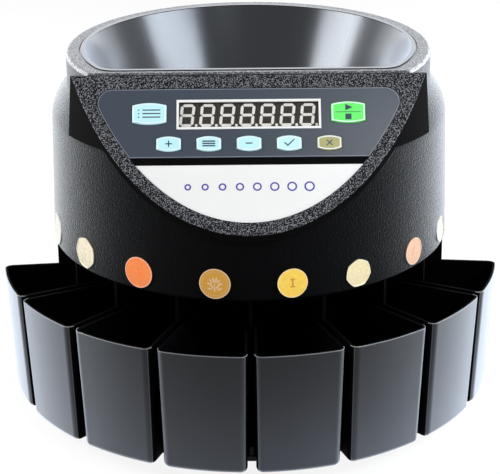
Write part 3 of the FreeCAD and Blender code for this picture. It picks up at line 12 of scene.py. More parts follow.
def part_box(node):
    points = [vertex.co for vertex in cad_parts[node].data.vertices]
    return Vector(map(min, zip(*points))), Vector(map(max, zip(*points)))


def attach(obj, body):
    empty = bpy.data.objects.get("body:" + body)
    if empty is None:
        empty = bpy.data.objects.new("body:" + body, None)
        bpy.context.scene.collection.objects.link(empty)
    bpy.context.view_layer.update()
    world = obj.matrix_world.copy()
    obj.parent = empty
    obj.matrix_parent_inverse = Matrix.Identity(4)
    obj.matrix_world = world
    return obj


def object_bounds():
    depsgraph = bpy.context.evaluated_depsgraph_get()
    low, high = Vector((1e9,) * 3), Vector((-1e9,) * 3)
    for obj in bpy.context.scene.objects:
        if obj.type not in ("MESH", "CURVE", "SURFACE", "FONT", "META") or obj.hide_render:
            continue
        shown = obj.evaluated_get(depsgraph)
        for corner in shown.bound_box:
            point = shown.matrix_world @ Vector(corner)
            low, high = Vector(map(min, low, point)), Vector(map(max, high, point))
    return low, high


bl_info = {
    "name": "Coin Sorter Finish",
    "version": (1, 0, 0),
    "blender": (4, 5, 0),
    "location": "3D View > Sidebar > Coin Sorter",
    "description": "Finishes, key prints, coin reliefs and studio stage of a desktop coin sorter",
    "category": "Object",
}

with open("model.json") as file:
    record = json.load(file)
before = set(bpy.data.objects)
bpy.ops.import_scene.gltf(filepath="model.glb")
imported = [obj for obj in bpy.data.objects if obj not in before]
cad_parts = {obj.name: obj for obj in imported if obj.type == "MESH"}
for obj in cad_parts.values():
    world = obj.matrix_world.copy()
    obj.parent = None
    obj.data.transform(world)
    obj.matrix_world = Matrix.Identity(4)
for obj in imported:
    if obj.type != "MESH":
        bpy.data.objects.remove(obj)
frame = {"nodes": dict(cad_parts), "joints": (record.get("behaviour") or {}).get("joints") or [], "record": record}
CAD_BOX = [list(corner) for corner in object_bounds()]
NODES = frame["nodes"]
JOINTS = {joint["name"]: joint for joint in frame["joints"]}
BODIES = frame["record"]["behaviour"]["bodies"]
BODY_OF = {node: body for body, nodes in BODIES.items() for node in nodes}

MM = 0.001
RIGHT = Vector((1, 0, 0))
COOL = (0.92, 0.96, 1.0)
NEUTRAL = (1.0, 1.0, 1.0)
AXIS_Y = JOINTS["disc_spin"]["pos_m"][1]
PANEL_OUT = -Vector(JOINTS["key_plus_press"]["axis"]).normalized()
PANEL_UP = PANEL_OUT.cross(RIGHT)
CUP_COUNT = sum(1 for name in NODES if name.startswith("coin_cup_"))
CUP_PITCH = Vector(JOINTS["cup_1_pull"]["axis"]).angle(Vector(JOINTS["cup_2_pull"]["axis"]))
KEY_NODES = [name for name in NODES if name.startswith("key_") and name != "key_switches"]
BADGE_NODES = [name for name in NODES if name.startswith("badges_")]

# Grains to a metre on the moulded surfaces
DRUM_GRAIN = 760.0
BASE_GRAIN = 1500.0
BEZEL_GRAIN = 1150.0
COLLAR_GRAIN = 800.0

# Depths on the pieces at which a finish changes
# Below this depth the hopper's wall takes painted shade instead of the painted light of the rim's top
RIM_FALL = 3.2 * MM
# Above this depth the bead takes its painted highlight
BEAD_CREST = 0.25 * MM
BEAD_MARGIN = 0.5 * MM
# Below this depth the bezel's sides and recess take plain black as painted shade
BEZEL_SKIN = 0.45 * MM
FACE_SKIN = 0.02 * MM

# Share of white in the worn rim of a badge
RIM_WHITE = 0.3

# Cool sheen of the black mouldings and the cups
SHEEN_TINT = (0.85, 0.92, 1.0)
MATT_BLACK = {
    "Specular IOR Level": 0.02,
    "Sheen Weight": 1.0,
    "Sheen Roughness": 0.27,
    "Sheen Tint": SHEEN_TINT,
}

# Camera beside, before and above the drum axis, with its tilt and roll
CAMERA_PLACE = (0.00006, -1.154253, 0.56562)
CAMERA_TILT = math.radians(21.584)
CAMERA_ROLL = -0.0092
SENSOR_WIDTH = 36.0

# Half width of the pale floor, and the share of white that it shows by itself
FLOOR_HALF = 6.0
FLOOR_GLOW = 0.88


# Settings that a user would change
def colour(name, description, value):
    return FloatVectorProperty(
        name=name, description=description, subtype="COLOR", size=3, min=0.0, max=1.0, default=value)


def length(name, description, value):
    return FloatProperty(name=name, description=description, unit="LENGTH", min=0.0, default=value)


def wattage(name, description, value):
    return FloatProperty(name=name, description=description, unit="POWER", min=0.0, default=value)


class SorterColours(bpy.types.PropertyGroup):
    """Colours of the sorter's finishes."""
    drum: colour("Drum", "Grained black plastic of the drum", (0.0011, 0.0011, 0.0013))
    bezel: colour("Bezel", "Dark side of the coarse grain", (0.003, 0.003, 0.0035))
    bezel_fleck: colour("Bezel fleck", "Light side of the coarse grain", (0.19, 0.193, 0.212))
    bowl: colour("Bowl", "Satin black of the hopper bowl", (0.003, 0.003, 0.004))
    # Painted light: the rim round the hopper is black plastic, and its pale top and flecks stand in for light
    # grazing it
    lit_collar: colour("Collar", "Worn black of the rim round the hopper", (0.135, 0.135, 0.142))
    lit_collar_fleck: colour("Collar grain", "Light spots of the rim's grain", (0.45, 0.455, 0.475))
    # Painted highlight: the pale top of the black bead
    bead: colour("Bead", "Polished bead round the bowl", (0.16, 0.163, 0.17))
    cup: colour("Cup", "Satin charcoal of the coin cups", (0.002, 0.0022, 0.003))
    # Painted light: the cups grow paler towards the foot, and the rub marks take the same colour
    cup_foot_light_and_rub: colour("Cup foot", "Rubbed charcoal towards the foot of a cup", (0.034, 0.038, 0.048))
    # Painted highlight: a pale line on the rims and the upright edges of the cups
    cup_edge_highlight: colour("Cup edge", "Rubbed edges of the coin cups", (0.12, 0.125, 0.135))
    base: colour("Base", "Charcoal of the base plate and its fins", (0.025, 0.025, 0.027))
    overlay: colour("Overlay", "Slate film under the keys", (0.040, 0.053, 0.074))
    film_line: colour("Film line", "Thin line round the slate film", (0.24, 0.26, 0.29))
    plate: colour("Plate", "White plate below the keys", (0.86, 0.855, 0.84))
    plate_mark: colour("Plate mark", "Indigo marks on the white plate", (0.055, 0.040, 0.33))
    display: colour("Display", "Dark face of the digit modules", (0.012, 0.0095, 0.0065))
    segment: colour("Segment", "Unlit digit segments", (0.92, 0.885, 0.82))
    key_blue: colour("Blue key", "Pale blue key caps", (0.52, 0.86, 0.92))
    key_green: colour("Green key", "Start and stop key cap", (0.08, 0.78, 0.09))
    key_olive: colour("Olive key", "Clear key cap", (0.36, 0.33, 0.12))
    key_border: colour("Key border", "Printed border of the key caps", (0.84, 0.93, 0.94))
    ink: colour("Ink", "Dark ink of the key prints", (0.022, 0.045, 0.070))
    coin_white: colour("White metal", "Outermost badges", (0.88, 0.88, 0.83))
    coin_cream: colour("Worn white metal", "Second badge from the left", (0.84, 0.77, 0.58))
    coin_copper: colour("Copper", "Copper badge on the left", (0.92, 0.265, 0.085))
    coin_rose: colour("Pale copper", "Copper badge on the right", (0.86, 0.56, 0.40))
    coin_bronze: colour("Bronze", "Badge left of the middle", (0.58, 0.30, 0.052))
    coin_gold: colour("Brass", "Badge right of the middle", (0.94, 0.65, 0.115))
    coin_ivory: colour("Pale brass", "Third badge from the right", (0.88, 0.77, 0.49))
    coin_shade: colour("Coin shade", "Dark figure on a bright badge", (0.62, 0.27, 0.045))


class SorterPrints(bpy.types.PropertyGroup):
    """Sizes of the printed and raised details."""
    ink_height: length("Ink height", "Thickness of a printed mark", 0.04 * MM)
    border_inset: length("Border inset", "Key edge to the printed border", 0.05 * MM)
    border_width: length("Border width", "Width of a key's printed border", 0.75 * MM)
    film_inset: length("Film line inset", "Film edge to its printed line", 0.35 * MM)
    film_line: length("Film line width", "Width of the line on the film", 0.35 * MM)
    stroke: length("Stroke", "Width of a key mark's strokes", 0.80 * MM)
    ring_width: length("Ring width", "Width of the rings on the white plate", 1.0 * MM)
    cup_corner: length("Cup corner", "Radius of a cup's upright corners", 5.0 * MM)
    cup_wall: length("Cup wall", "Thickness of a cup's wall", 2.0 * MM)
    # Width of the painted highlights on a cup's edges, and the margin before the painted shade on its sides
    cup_line: length("Cup edge line", "Width of the rubbed edges of a cup", 0.5 * MM)
    coin_rim: length("Coin rim", "Width of a badge's raised rim", 0.7 * MM)
    coin_relief: length("Coin relief", "Height of a badge's relief", 0.16 * MM)


class SorterStage(bpy.types.PropertyGroup):
    """Camera and lamps of the studio."""
    lens: FloatProperty(
        name="Lens", description="Focal length of the camera", unit="CAMERA", default=122.04)
    side_power: wattage("Side lamps", "Power of each side lamp", 7.9)
    top_power: wattage("Top lamp", "Power of the lamp above", 1.75)
    back_power: wattage("Back lamps", "Power of each lamp behind", 8.0)
    low_power: wattage("Low lamps", "Power of each low lamp", 14.0)
    end_power: wattage("End lamps", "Power of each bowl-end lamp", 1.8)
    world_level: FloatProperty(
        name="World level", description="Strength of the even light", default=0.08)


# Shader nodes written as expressions
def plug(tree, socket, value):
    """Links a wire to a socket, or sets the socket's own value."""
    if isinstance(value, Wire):
        tree.links.new(value.socket, socket)
    elif socket.type == "RGBA" and len(value) == 3:
        socket.default_value = (*value, 1.0)
    else:
        socket.default_value = value


def set_stops(ramp, stops):
    """Puts grey levels or colours on a ramp, in order of place."""
    while len(ramp.elements) < len(stops):
        ramp.elements.new(0.5)
    for element, (place, value) in zip(ramp.elements, stops):
        element.position = place
        element.color = (*value, 1.0) if hasattr(value, "__len__") else (value, value, value, 1.0)


def add_node(tree, kind, settings=None, inputs=None, output=0):
    """Adds any node: its settings first, then the values or wires of its sockets."""
    node = tree.nodes.new("ShaderNode" + kind)
    for name, value in (settings or {}).items():
        if name == "stops":
            set_stops(node.color_ramp, value)
        else:
            setattr(node, name, value)
    for socket, value in (inputs or {}).items():
        plug(tree, node.inputs[socket], value)
    return Wire(tree, node.outputs[output])


class Wire:
    """An output socket whose sums, products and comparisons add Math nodes."""

    def __init__(self, tree, socket):
        self.tree = tree
        self.socket = socket

    def math(self, operation, first, second=0.0):
        return add_node(self.tree, "Math", {"operation": operation}, {0: first, 1: second})

    def __add__(self, other):
        return self.math("ADD", self, other)

    def __sub__(self, other):
        return self.math("SUBTRACT", self, other)

    def __rsub__(self, other):
        return self.math("SUBTRACT", other, self)

    def __mul__(self, other):
        return self.math("MULTIPLY", self, other)

    def __truediv__(self, other):
        return self.math("DIVIDE", self, other)

    def __pow__(self, other):
        return self.math("POWER", self, other)

    def __gt__(self, other):
        return self.math("GREATER_THAN", self, other)

    def __lt__(self, other):
        return self.math("LESS_THAN", self, other)

    def __abs__(self):
        return self.math("ABSOLUTE", self)

    def highest(self, other):
        return self.math("MAXIMUM", self, other)

    __radd__ = __add__
    __rmul__ = __mul__


class Finish:
    """A material being made: its tree, its main shader and the nodes that feed it."""

    def __init__(self, name, constants):
        self.material = bpy.data.materials.new(name)
        self.material.use_nodes = True
        self.tree = self.material.node_tree
        self.shader = self.tree.nodes["Principled BSDF"]
        for socket, value in constants.items():
            plug(self.tree, self.shader.inputs[socket], value)

    def node(self, kind, settings=None, inputs=None, output=0):
        return add_node(self.tree, kind, settings, inputs, output)

    def feed(self, socket, wire):
        plug(self.tree, self.shader.inputs[socket], wire)

    def cover(self, share, shader):
        """Shows another shader over what is there, by a share from 0 to 1."""
        surface = self.tree.nodes["Material Output"].inputs["Surface"]
        below = Wire(self.tree, surface.links[0].from_socket)
        plug(self.tree, surface, self.node("MixShader", inputs={0: share, 1: below, 2: shader}))

    def graze(self, power, roughness, tint, share=1.0):
        """Adds a gloss that grows towards the edges of the form, over the same relief."""
        relief = Wire(self.tree, self.shader.inputs["Normal"].links[0].from_socket)
        facing = self.node("LayerWeight", inputs={"Blend": 0.5, "Normal": relief}, output="Facing")
        settings = {"Color": tint, "Roughness": roughness, "Normal": relief}
        gloss = self.node("BsdfGlossy", inputs=settings)
        self.cover(facing ** power * share, gloss)

    def point(self):
        """Place on the piece in metres, which moves with the piece."""
        return self.node("TexCoord", output="Object")

    def axes(self, vector):
        """The three numbers of a vector."""
        split = self.node("SeparateXYZ", inputs={"Vector": vector})
        return [Wire(self.tree, output) for output in split.socket.node.outputs]

    def mix(self, share, first, second):
        return self.node("Mix", {"data_type": "RGBA"}, {0: share, 6: first, 7: second}, output=2)

    def noise(self, scale, detail=2.0, stretch=(1.0, 1.0, 1.0)):
        """Noise whose grains are about one over scale metres wide."""
        vector = self.node("Mapping", inputs={"Vector": self.point(), "Scale": stretch})
        settings = {"Vector": vector, "Scale": scale, "Detail": detail, "Roughness": 0.6}
        return self.node("TexNoise", inputs=settings)

    def ramp(self, wire, stops):
        return self.node("ValToRGB", {"stops": stops}, {"Fac": wire})

    def rough(self, wire, low, swing):
        """Roughness that a wire from 0 to 1 raises from a low value by a swing."""
        self.feed("Roughness", wire * swing + low)

    def clouded(self, wire, share, first, second):
        """Base colour that a wire carries part of the way from one tone to another."""
        self.feed("Base Color", self.mix(wire * share, first, second))

    def bump(self, height, depth, strength=1.0):
        """Turns a height from 0 to 1 into relief of a depth in metres."""
        settings = {"Height": height, "Distance": depth, "Strength": strength}
        self.feed("Normal", self.node("Bump", inputs=settings))


def dress(finish, names):
    """Gives CAD nodes a finish."""
    for name in names:
        slots = NODES[name].data.materials
        slots.clear()
        slots.append(finish.material)


def lighter(value, factor):
    return tuple(min(1.0, channel * factor) for channel in value)


# Finishes
def grained_black(name, base, scale, contrast, edge_power):
    """Matt black moulded plastic with a fine even grain."""
    finish = Finish(name, MATT_BLACK)
    grain = finish.noise(scale, detail=3.0)
    cloud = finish.noise(scale=14.0, detail=3.0)
    dark = lighter(base, 1.0 - contrast)
    pale = lighter(base, 1.0 + 2 * contrast)
    shade = finish.ramp(grain, [(0.35, dark), (0.70, pale)])
    finish.clouded(cloud, share=0.35, first=shade, second=lighter(base, 1.6))
    finish.rough(grain, low=0.42, swing=0.25)
    finish.bump(grain, depth=0.50 * MM, strength=0.9)
    finish.graze(edge_power, roughness=0.45, tint=(0.73, 0.76, 0.785))
    return finish


def coarse_grain(finish, base, fleck, scale):
    """Colour and height of the coarse leather-like grain of the bezel and the hopper rim."""
    grain = finish.noise(scale, detail=1.0)
    spots = finish.ramp(grain, [(0.525, 0.0), (0.565, 1.0)])
    return finish.mix(spots, base, fleck), grain


def bezel_finish(colours):
    """Coarse grain on the bezel's face; on its sides and in its recess, the drum's black without sheen as painted
    shade.
    """
    finish = Finish("bezel_grain", {"Specular IOR Level": 0.08, "Roughness": 0.62})
    shade, grain = coarse_grain(finish, colours.bezel, colours.bezel_fleck, BEZEL_GRAIN)
    finish.feed("Base Color", shade)
    finish.bump(grain, depth=0.28 * MM, strength=0.8)
    # Painted shade: the sides and the recess take the drum's black with no sheen
    below = panel_depth(finish) < -BEZEL_SKIN
    black = {"Base Color": colours.drum, "Roughness": 0.6, "Specular IOR Level": 0.03}
    finish.cover(below, finish.node("BsdfPrincipled", inputs=black))
    return finish


def panel_depth(finish):
    """Distance above the panel's face, in metres."""
    settings = {"operation": "DOT_PRODUCT"}
    along = finish.node("VectorMath", settings, {0: finish.point(), 1: PANEL_OUT}, output="Value")
    return along - panel_face().dot(PANEL_OUT)


def hopper_finish(colours):
    """Coarse grain on the rim, pale on top as painted light and darker on the wall below as painted shade; satin
    black inside the bead, whose top is a painted highlight.
    """
    finish = Finish("hopper_black", {
        "Specular IOR Level": 0.5,
        "Specular Tint": (0.84, 0.91, 1.0),
        "Sheen Weight": 0.12,
        "Sheen Roughness": 0.3,
    })
    # Painted light on the rim's top
    shade, grain = coarse_grain(finish, colours.lit_collar, colours.lit_collar_fleck, COLLAR_GRAIN)
    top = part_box("hopper_bowl")[1].z
    x, y, z = finish.axes(finish.point())
    depth = y - AXIS_Y
    radius = (x * x + depth * depth) ** 0.5
    bead_radius, bead_front = bead_edges()
    outside = (radius - bead_radius).highest(bead_front - depth) > 0.0
    streak = finish.noise(scale=40.0, detail=3.0, stretch=(1.0, 1.0, 0.15))
    # Painted shade: the wall below the rim's top takes the bezel's darker grain
    shaded_wall_fleck = lighter(colours.bezel_fleck, 0.35)
    wall = coarse_grain(finish, colours.bezel, shaded_wall_fleck, COLLAR_GRAIN)[0]
    shade = finish.mix(z < top - RIM_FALL, shade, wall)
    shade = finish.mix(outside, colours.bowl, shade)
    # Painted highlight on the top of the bead
    finish.feed("Base Color", finish.mix(z > top - BEAD_CREST, shade, colours.bead))
    finish.feed("Roughness", (1 - outside) * (streak * 0.08 + 0.16) + outside * 0.6)
    finish.bump(grain * outside, depth=0.28 * MM, strength=0.8)
    finish.graze(power=3.0, roughness=0.3, tint=(0.88, 0.93, 1.0), share=1 - outside * 0.65)
    return finish


def cup_finish(colours, prints):
    """Satin charcoal with rub marks, painted light at the foot, painted edge highlights, and painted black shade
    inside, on the sides and on the rim's top.
    """
    finish = Finish("cup_charcoal", {
        "Specular IOR Level": 0.22,
        "Sheen Weight": 1.0,
        "Sheen Roughness": 0.3,
        "Sheen Tint": SHEEN_TINT,
    })
    rim, foot, face, face_slope, clear, side_slope = cup_sizes()
    x, y, z = finish.axes(finish.point())
    depth = y - AXIS_Y
    radius = (x * x + depth * depth) ** 0.5
    turn = finish.node("Math", {"operation": "ARCTAN2"}, {0: x, 1: depth * -1.0})
    share = finish.node("Math", {"operation": "FRACT"}, {0: turn / CUP_PITCH + CUP_COUNT / 2})
    drop = rim - z
    beside = radius * (0.5 - abs(share - 0.5)) * CUP_PITCH - clear - drop * side_slope
    before = face - drop * face_slope - radius
    corner = prints.cup_corner
    to_side = (corner - beside).highest(0.0)
    to_face = (corner - before).highest(0.0)
    into_wall = corner - (to_side * to_side + to_face * to_face) ** 0.5
    # Painted highlights: a pale line along the rim and, fainter, along the upright corners
    outer = (into_wall < prints.cup_line) * (before < corner)
    rim_highlight = outer * (drop < prints.cup_line)
    corner_highlight = outer * (abs(beside - before) < prints.cup_line) * 0.3
    rub = finish.noise(scale=260.0, detail=4.0, stretch=(1.0, 1.0, 0.06))
    cloud = finish.noise(scale=18.0, detail=2.0)
    fall = drop / (rim - foot)
    # Painted light: the base colour grows paler from the rim down to the foot, with rub marks over it
    shade = finish.mix(fall ** 1.5 * (cloud + 0.5), colours.cup, colours.cup_foot_light_and_rub)
    shade = finish.mix(rub * 0.12, shade, colours.cup_foot_light_and_rub)
    finish.feed("Base Color", finish.mix(rim_highlight.highest(corner_highlight), shade, colours.cup_edge_highlight))
    finish.feed("Roughness", cloud * 0.10 + rub * 0.08 + 0.30)
    finish.bump(finish.noise(scale=1800.0, detail=2.0), depth=0.02 * MM, strength=0.5)
    finish.graze(power=2.7, roughness=0.4, tint=(0.80, 0.88, 1.0))
    # Painted shade: the inside, the side faces between the cups and the rim's top take a plain black shader
    # without sheen
    inside = (into_wall > prints.cup_wall / 2) * (z > foot + prints.cup_corner)
    dark = inside.highest(before - beside > prints.cup_line).highest(drop < FACE_SKIN)
    black = {"Base Color": lighter(colours.cup, 0.5), "Roughness": 0.6, "Specular IOR Level": 0.02}
    finish.cover(dark * (1 - rim_highlight), finish.node("BsdfPrincipled", inputs=black))
    return finish


def film_finish(name, base, roughness=0.34):
    """Printed film with a faint print tooth and cloud."""
    finish = Finish(name, {"Specular IOR Level": 0.3})
    tooth = finish.noise(scale=2600.0, detail=2.0)
    cloud = finish.noise(scale=30.0, detail=2.0)
    finish.clouded(cloud, share=0.5, first=lighter(base, 0.92), second=lighter(base, 1.1))
    finish.rough(tooth, low=roughness, swing=0.12)
    finish.bump(tooth, depth=0.01 * MM, strength=0.4)
    return finish


def key_finish(name, base):
    """Slightly glossy key plastic with a faint cloud and a fine tooth."""
    finish = Finish(name, {"Specular IOR Level": 0.5, "Coat Weight": 0.15, "Coat Roughness": 0.2})
    cloud = finish.noise(scale=120.0, detail=2.0)
    tooth = finish.noise(scale=2200.0, detail=2.0)
    finish.clouded(cloud, share=0.6, first=lighter(base, 0.94), second=lighter(base, 1.06))
    finish.rough(tooth, low=0.30, swing=0.10)
    finish.bump(tooth, depth=0.008 * MM, strength=0.5)
    return finish


def coin_finish(name, tones, places):
    """Worn coin metal, with the tone of each badge set by its place across the machine."""
    finish = Finish(name, {"Metallic": 1.0})
    x = finish.axes(finish.point())[0]
    half = CAD_BOX[1][0]
    borders = [-half] + [(before + after) / 2 for before, after in zip(places, places[1:])]
    stops = [((border + half) / (2 * half), tone) for border, tone in zip(borders, tones)]
    ramp = finish.ramp(x / (2 * half) + 0.5, stops)
    ramp.socket.node.color_ramp.interpolation = "CONSTANT"
    wear = finish.noise(scale=420.0, detail=4.0)
    dull = finish.mix(0.35, ramp, (0.25, 0.20, 0.14))
    finish.feed("Base Color", finish.mix(finish.ramp(wear, [(0.42, 0.0), (0.75, 0.5)]), ramp, dull))
    finish.rough(wear, low=0.2, swing=0.2)
    finish.bump(finish.noise(scale=1500.0, detail=3.0), depth=0.04 * MM, strength=0.5)
    return finish


def metal_finish(name, base, roughness=0.35, stretch=(1.0, 1.0, 1.0)):
    """Machined or drawn metal with fine lines and a little tarnish."""
    finish = Finish(name, {"Metallic": 1.0})
    lines = finish.noise(scale=900.0, detail=3.0, stretch=stretch)
    cloud = finish.noise(scale=60.0, detail=3.0)
    finish.clouded(cloud, share=0.5, first=base, second=lighter(base, 0.75))
    finish.rough(lines, low=roughness - 0.1, swing=0.2)
    finish.bump(lines, depth=0.01 * MM, strength=0.4)
    return finish


def plastic_finish(name, base, roughness=0.45, gloss=0.4):
    """Plain moulded plastic with a light spark-eroded texture."""
    finish = Finish(name, {"Specular IOR Level": gloss})
    tooth = finish.noise(scale=1400.0, detail=3.0)
    cloud = finish.noise(scale=35.0, detail=2.0)
    finish.clouded(cloud, share=0.5, first=lighter(base, 0.85), second=lighter(base, 1.2))
    finish.rough(tooth, low=roughness - 0.1, swing=0.2)
    finish.bump(tooth, depth=0.03 * MM, strength=0.5)
    return finish


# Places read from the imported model
def points_of(node):
    """Corner points of a CAD node."""
    return [vertex.co for vertex in NODES[node].data.vertices]


def azimuth(point):
    """Angle about the drum axis, from the front and positive to the right."""
    return math.atan2(point.x, AXIS_Y - point.y)


def reach(point):
    """Distance from the drum axis."""
    return math.hypot(point.x, point.y - AXIS_Y)


def cup_sizes():
    """Rim and foot levels of a cup, then its face and its sides at the rim, each with its slope."""
    low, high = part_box("coin_cup_1")
    axis = Vector(JOINTS["cup_1_pull"]["axis"])
    middle = math.atan2(axis.x, -axis.y)
    points = points_of("coin_cup_1")

    def clearance(point):
        return reach(point) * math.sin(CUP_PITCH / 2 - abs(azimuth(point) - middle))

    at_rim, over_foot, level_with = 0.1 * MM, 8.0 * MM, 0.5 * MM
    rim = [point for point in points if point.z > high.z - at_rim]
    lowest = max((point for point in points if point.z < low.z + over_foot), key=reach)
    lower = [point for point in points if abs(point.z - lowest.z) < level_with]
    face = max(reach(point) for point in rim)
    side = min(clearance(point) for point in rim)
    fall = high.z - lowest.z
    face_slope = (face - reach(lowest)) / fall
    side_slope = (min(clearance(point) for point in lower) - side) / fall
    return high.z, low.z, face, face_slope, side, side_slope


def middle_of(points):
    return sum(points, Vector()) / len(points)


def badge_groups(node):
    """Corner points of each badge of a node, from left to right."""
    points = sorted(points_of(node), key=azimuth)
    groups = [[points[0]]]
    for before, here in zip(points, points[1:]):
        if azimuth(here) - azimuth(before) > CUP_PITCH / 4:
            groups.append([])
        groups[-1].append(here)
    return groups


def badge_skin():
    """Outer radius of the badges at a height, as a function."""
    points = [point for node in BADGE_NODES for point in points_of(node)]
    level_with = 0.2 * MM
    ends = []
    for level in (min(point.z for point in points), max(point.z for point in points)):
        near = [point for point in points if abs(point.z - level) < level_with]
        ends.append((level, max(reach(point) for point in near)))
    (low, low_radius), (high, high_radius) = ends
    return lambda height: low_radius + (high_radius - low_radius) * (height - low) / (high - low)


def panel_coordinates(point):
    """Across, up the slope and outwards, from the panel's own corner of the frame."""
    return Vector((point.dot(RIGHT), point.dot(PANEL_UP), point.dot(PANEL_OUT)))


def panel_point(across, along, out):
    return RIGHT * across + PANEL_UP * along + PANEL_OUT * out


def panel_face():
    """Point on the panel's outer face."""
    highest = max(panel_coordinates(point).z for point in points_of("control_panel"))
    return PANEL_OUT * highest


def bead_edges():
    """Outer radius of the hopper's bead and its straight front, about the drum axis."""
    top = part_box("hopper_bowl")[1].z
    at_top = 0.3 * MM
    rim = [point for point in points_of("hopper_bowl") if point.z > top - at_top]
    radius = max(reach(point) for point in rim)
    front = min(point.y for point in rim) - AXIS_Y
    return radius + BEAD_MARGIN, front - BEAD_MARGIN


def top_outline(node):
    """Outer edge, in order, of a node's highest face, as across and up-slope pairs, and its level."""
    mesh = NODES[node].data
    places = [panel_coordinates(point) for point in points_of(node)]
    top = max(place.z for place in places)
    edges = {}
    for polygon in mesh.polygons:
        corners = [places[index] for index in polygon.vertices]
        if min(corner.z for corner in corners) < top - FACE_SKIN:
            continue
        keys = [(round(corner.x, 7), round(corner.y, 7)) for corner in corners]
        for start, end in zip(keys, keys[1:] + keys[:1]):
            if (end, start) in edges:
                del edges[(end, start)]
            else:
                edges[(start, end)] = True
    following = {start: end for start, end in edges}
    loops = []
    while following:
        start, end = following.popitem()
        loop = [start]
        while end != start:
            loop.append(end)
            end = following.pop(end)
        loops.append(loop)
    return max(loops, key=lambda loop: abs(area_of(loop))), top


def area_of(loop):
    return sum(a[0] * b[1] - b[0] * a[1] for a, b in zip(loop, loop[1:] + loop[:1])) / 2


def inset(loop, distance):
    """An outline moved inwards by a distance."""
    points = [Vector(point) for point in loop]
    side = 1.0 if area_of(loop) > 0 else -1.0
    result = []
    for before, here, after in zip(points[-1:] + points[:-1], points, points[1:] + points[:1]):
        first = (here - before).normalized()
        second = (after - here).normalized()
        normal = Vector((-first.y - second.y, first.x + second.x)) * side
        normal.normalize()
        cosine = max(0.3, normal.dot(Vector((-first.y, first.x)) * side))
        result.append(tuple(here + normal * (distance / cosine)))
    return result


# Mesh helpers
def mesh_piece(name, build, finish, body):
    """Makes a piece from a function that fills a bmesh, and lets it ride on a body."""
    mesh = bpy.data.meshes.new(name)
    shape = bmesh.new()
    build(shape)
    bmesh.ops.remove_doubles(shape, verts=shape.verts, dist=1e-7)
    bmesh.ops.recalc_face_normals(shape, faces=shape.faces)
    shape.to_mesh(mesh)
    shape.free()
    piece = bpy.data.objects.new(name, mesh)
    bpy.context.scene.collection.objects.link(piece)
    mesh.materials.append(finish.material)
    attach(piece, body)


def add_plate(shape, outline, low, high, place):
    """Closed flat plate over an outline; place turns across, along and height into a point."""
    lower = [shape.verts.new(place(x, y, low)) for x, y in outline]
    upper = [shape.verts.new(place(x, y, high)) for x, y in outline]
    shape.faces.new(lower)
    shape.faces.new(upper)
    count = len(outline)
    for number in range(count):
        following = (number + 1) % count
        shape.faces.new((lower[number], lower[following], upper[following], upper[number]))


def add_band(shape, outer, inner, low, high, place):
    """Closed flat band between two outlines of as many points."""
    loops = [(outer, low), (outer, high), (inner, high), (inner, low)]
    rings = [[shape.verts.new(place(x, y, level)) for x, y in loop] for loop, level in loops]
    count = len(outer)
    for ring, beyond in zip(rings, rings[1:] + rings[:1]):
        for number in range(count):
            following = (number + 1) % count
            shape.faces.new((ring[number], ring[following], beyond[following], beyond[number]))


def circle(x, y, radius, sides=40):
    turns = [2 * math.pi * side / sides for side in range(sides)]
    return [(x + radius * math.cos(turn), y + radius * math.sin(turn)) for turn in turns]


def bar(start, end, width):
    """Outline of a straight stroke."""
    first = Vector(start)
    last = Vector(end)
    along = (last - first).normalized()
    across = Vector((-along.y, along.x)) * (width / 2)
    return [tuple(point) for point in (first - across, last - across, last + across, first + across)]


def lozenge(x, y, width, height, steps=8):
    """Outline of a flat bar with round ends."""
    radius = height / 2
    arm = width / 2 - radius
    points = []
    for side, start in ((1, -90.0), (-1, 90.0)):
        for step in range(steps + 1):
            turn = math.radians(start + 180.0 * step / steps)
            points.append((x + side * arm + radius * math.cos(turn), y + radius * math.sin(turn)))
    return points


# Key marks, as outlines in metres about the middle of a key
def list_mark(stroke):
    pitch, line, line_middle, dot_middle = 2.5 * MM, 12.0 * MM, 1.4 * MM, -7.0 * MM
    marks = []
    for row in (-1, 0, 1):
        marks.append(lozenge(line_middle, row * pitch, line, stroke))
        marks.append(circle(dot_middle, row * pitch, stroke * 0.62, sides=16))
    return marks


def plus_mark(stroke):
    arm = 2.2 * MM
    half = stroke / 2
    return [[
        (-arm, -half), (-half, -half), (-half, -arm), (half, -arm), (half, -half), (arm, -half),
        (arm, half), (half, half), (half, arm), (-half, arm), (-half, half), (-arm, half),
    ]]


def minus_mark(stroke):
    arm = 2.2 * MM
    return [bar((-arm, 0.0), (arm, 0.0), stroke)]


def stack_mark(stroke):
    pitch, width = 1.6 * MM, 8.6 * MM
    return [lozenge(0.0, row * pitch, width, stroke * 1.2) for row in (-1, 0, 1)]


def tick_mark(stroke):
    half = stroke * 0.7
    left, low, right, high = -3.4 * MM, -2.4 * MM, 3.6 * MM, 2.2 * MM
    bend = -1.0 * MM
    return [[
        (left, 0.0), (bend, low), (right, high),
        (right - half, high + half), (bend, low + 2 * half), (left + half, half),
    ]]


def cross_mark(stroke):
    arm = 1.7 * MM
    half = stroke * 0.6
    star = []
    for quarter in range(4):
        turn = Matrix.Rotation(math.pi / 2 * quarter, 2)
        corners = ((half, 0.0), (arm + half, arm), (arm, arm + half))
        star += [tuple(turn @ Vector(corner)) for corner in corners]
    return [star]


def run_mark(stroke):
    triangle = [(-1.9 * MM, 1.0 * MM), (2.9 * MM, 3.3 * MM), (-1.9 * MM, 5.6 * MM)]
    half = 2.0 * MM
    low, high = -5.3 * MM, -1.3 * MM
    square = [(-half, low), (half, low), (half, high), (-half, high)]
    divider = bar((-8.2 * MM, 0.0), (8.2 * MM, 0.0), stroke * 0.5)
    return [triangle, divider, square]


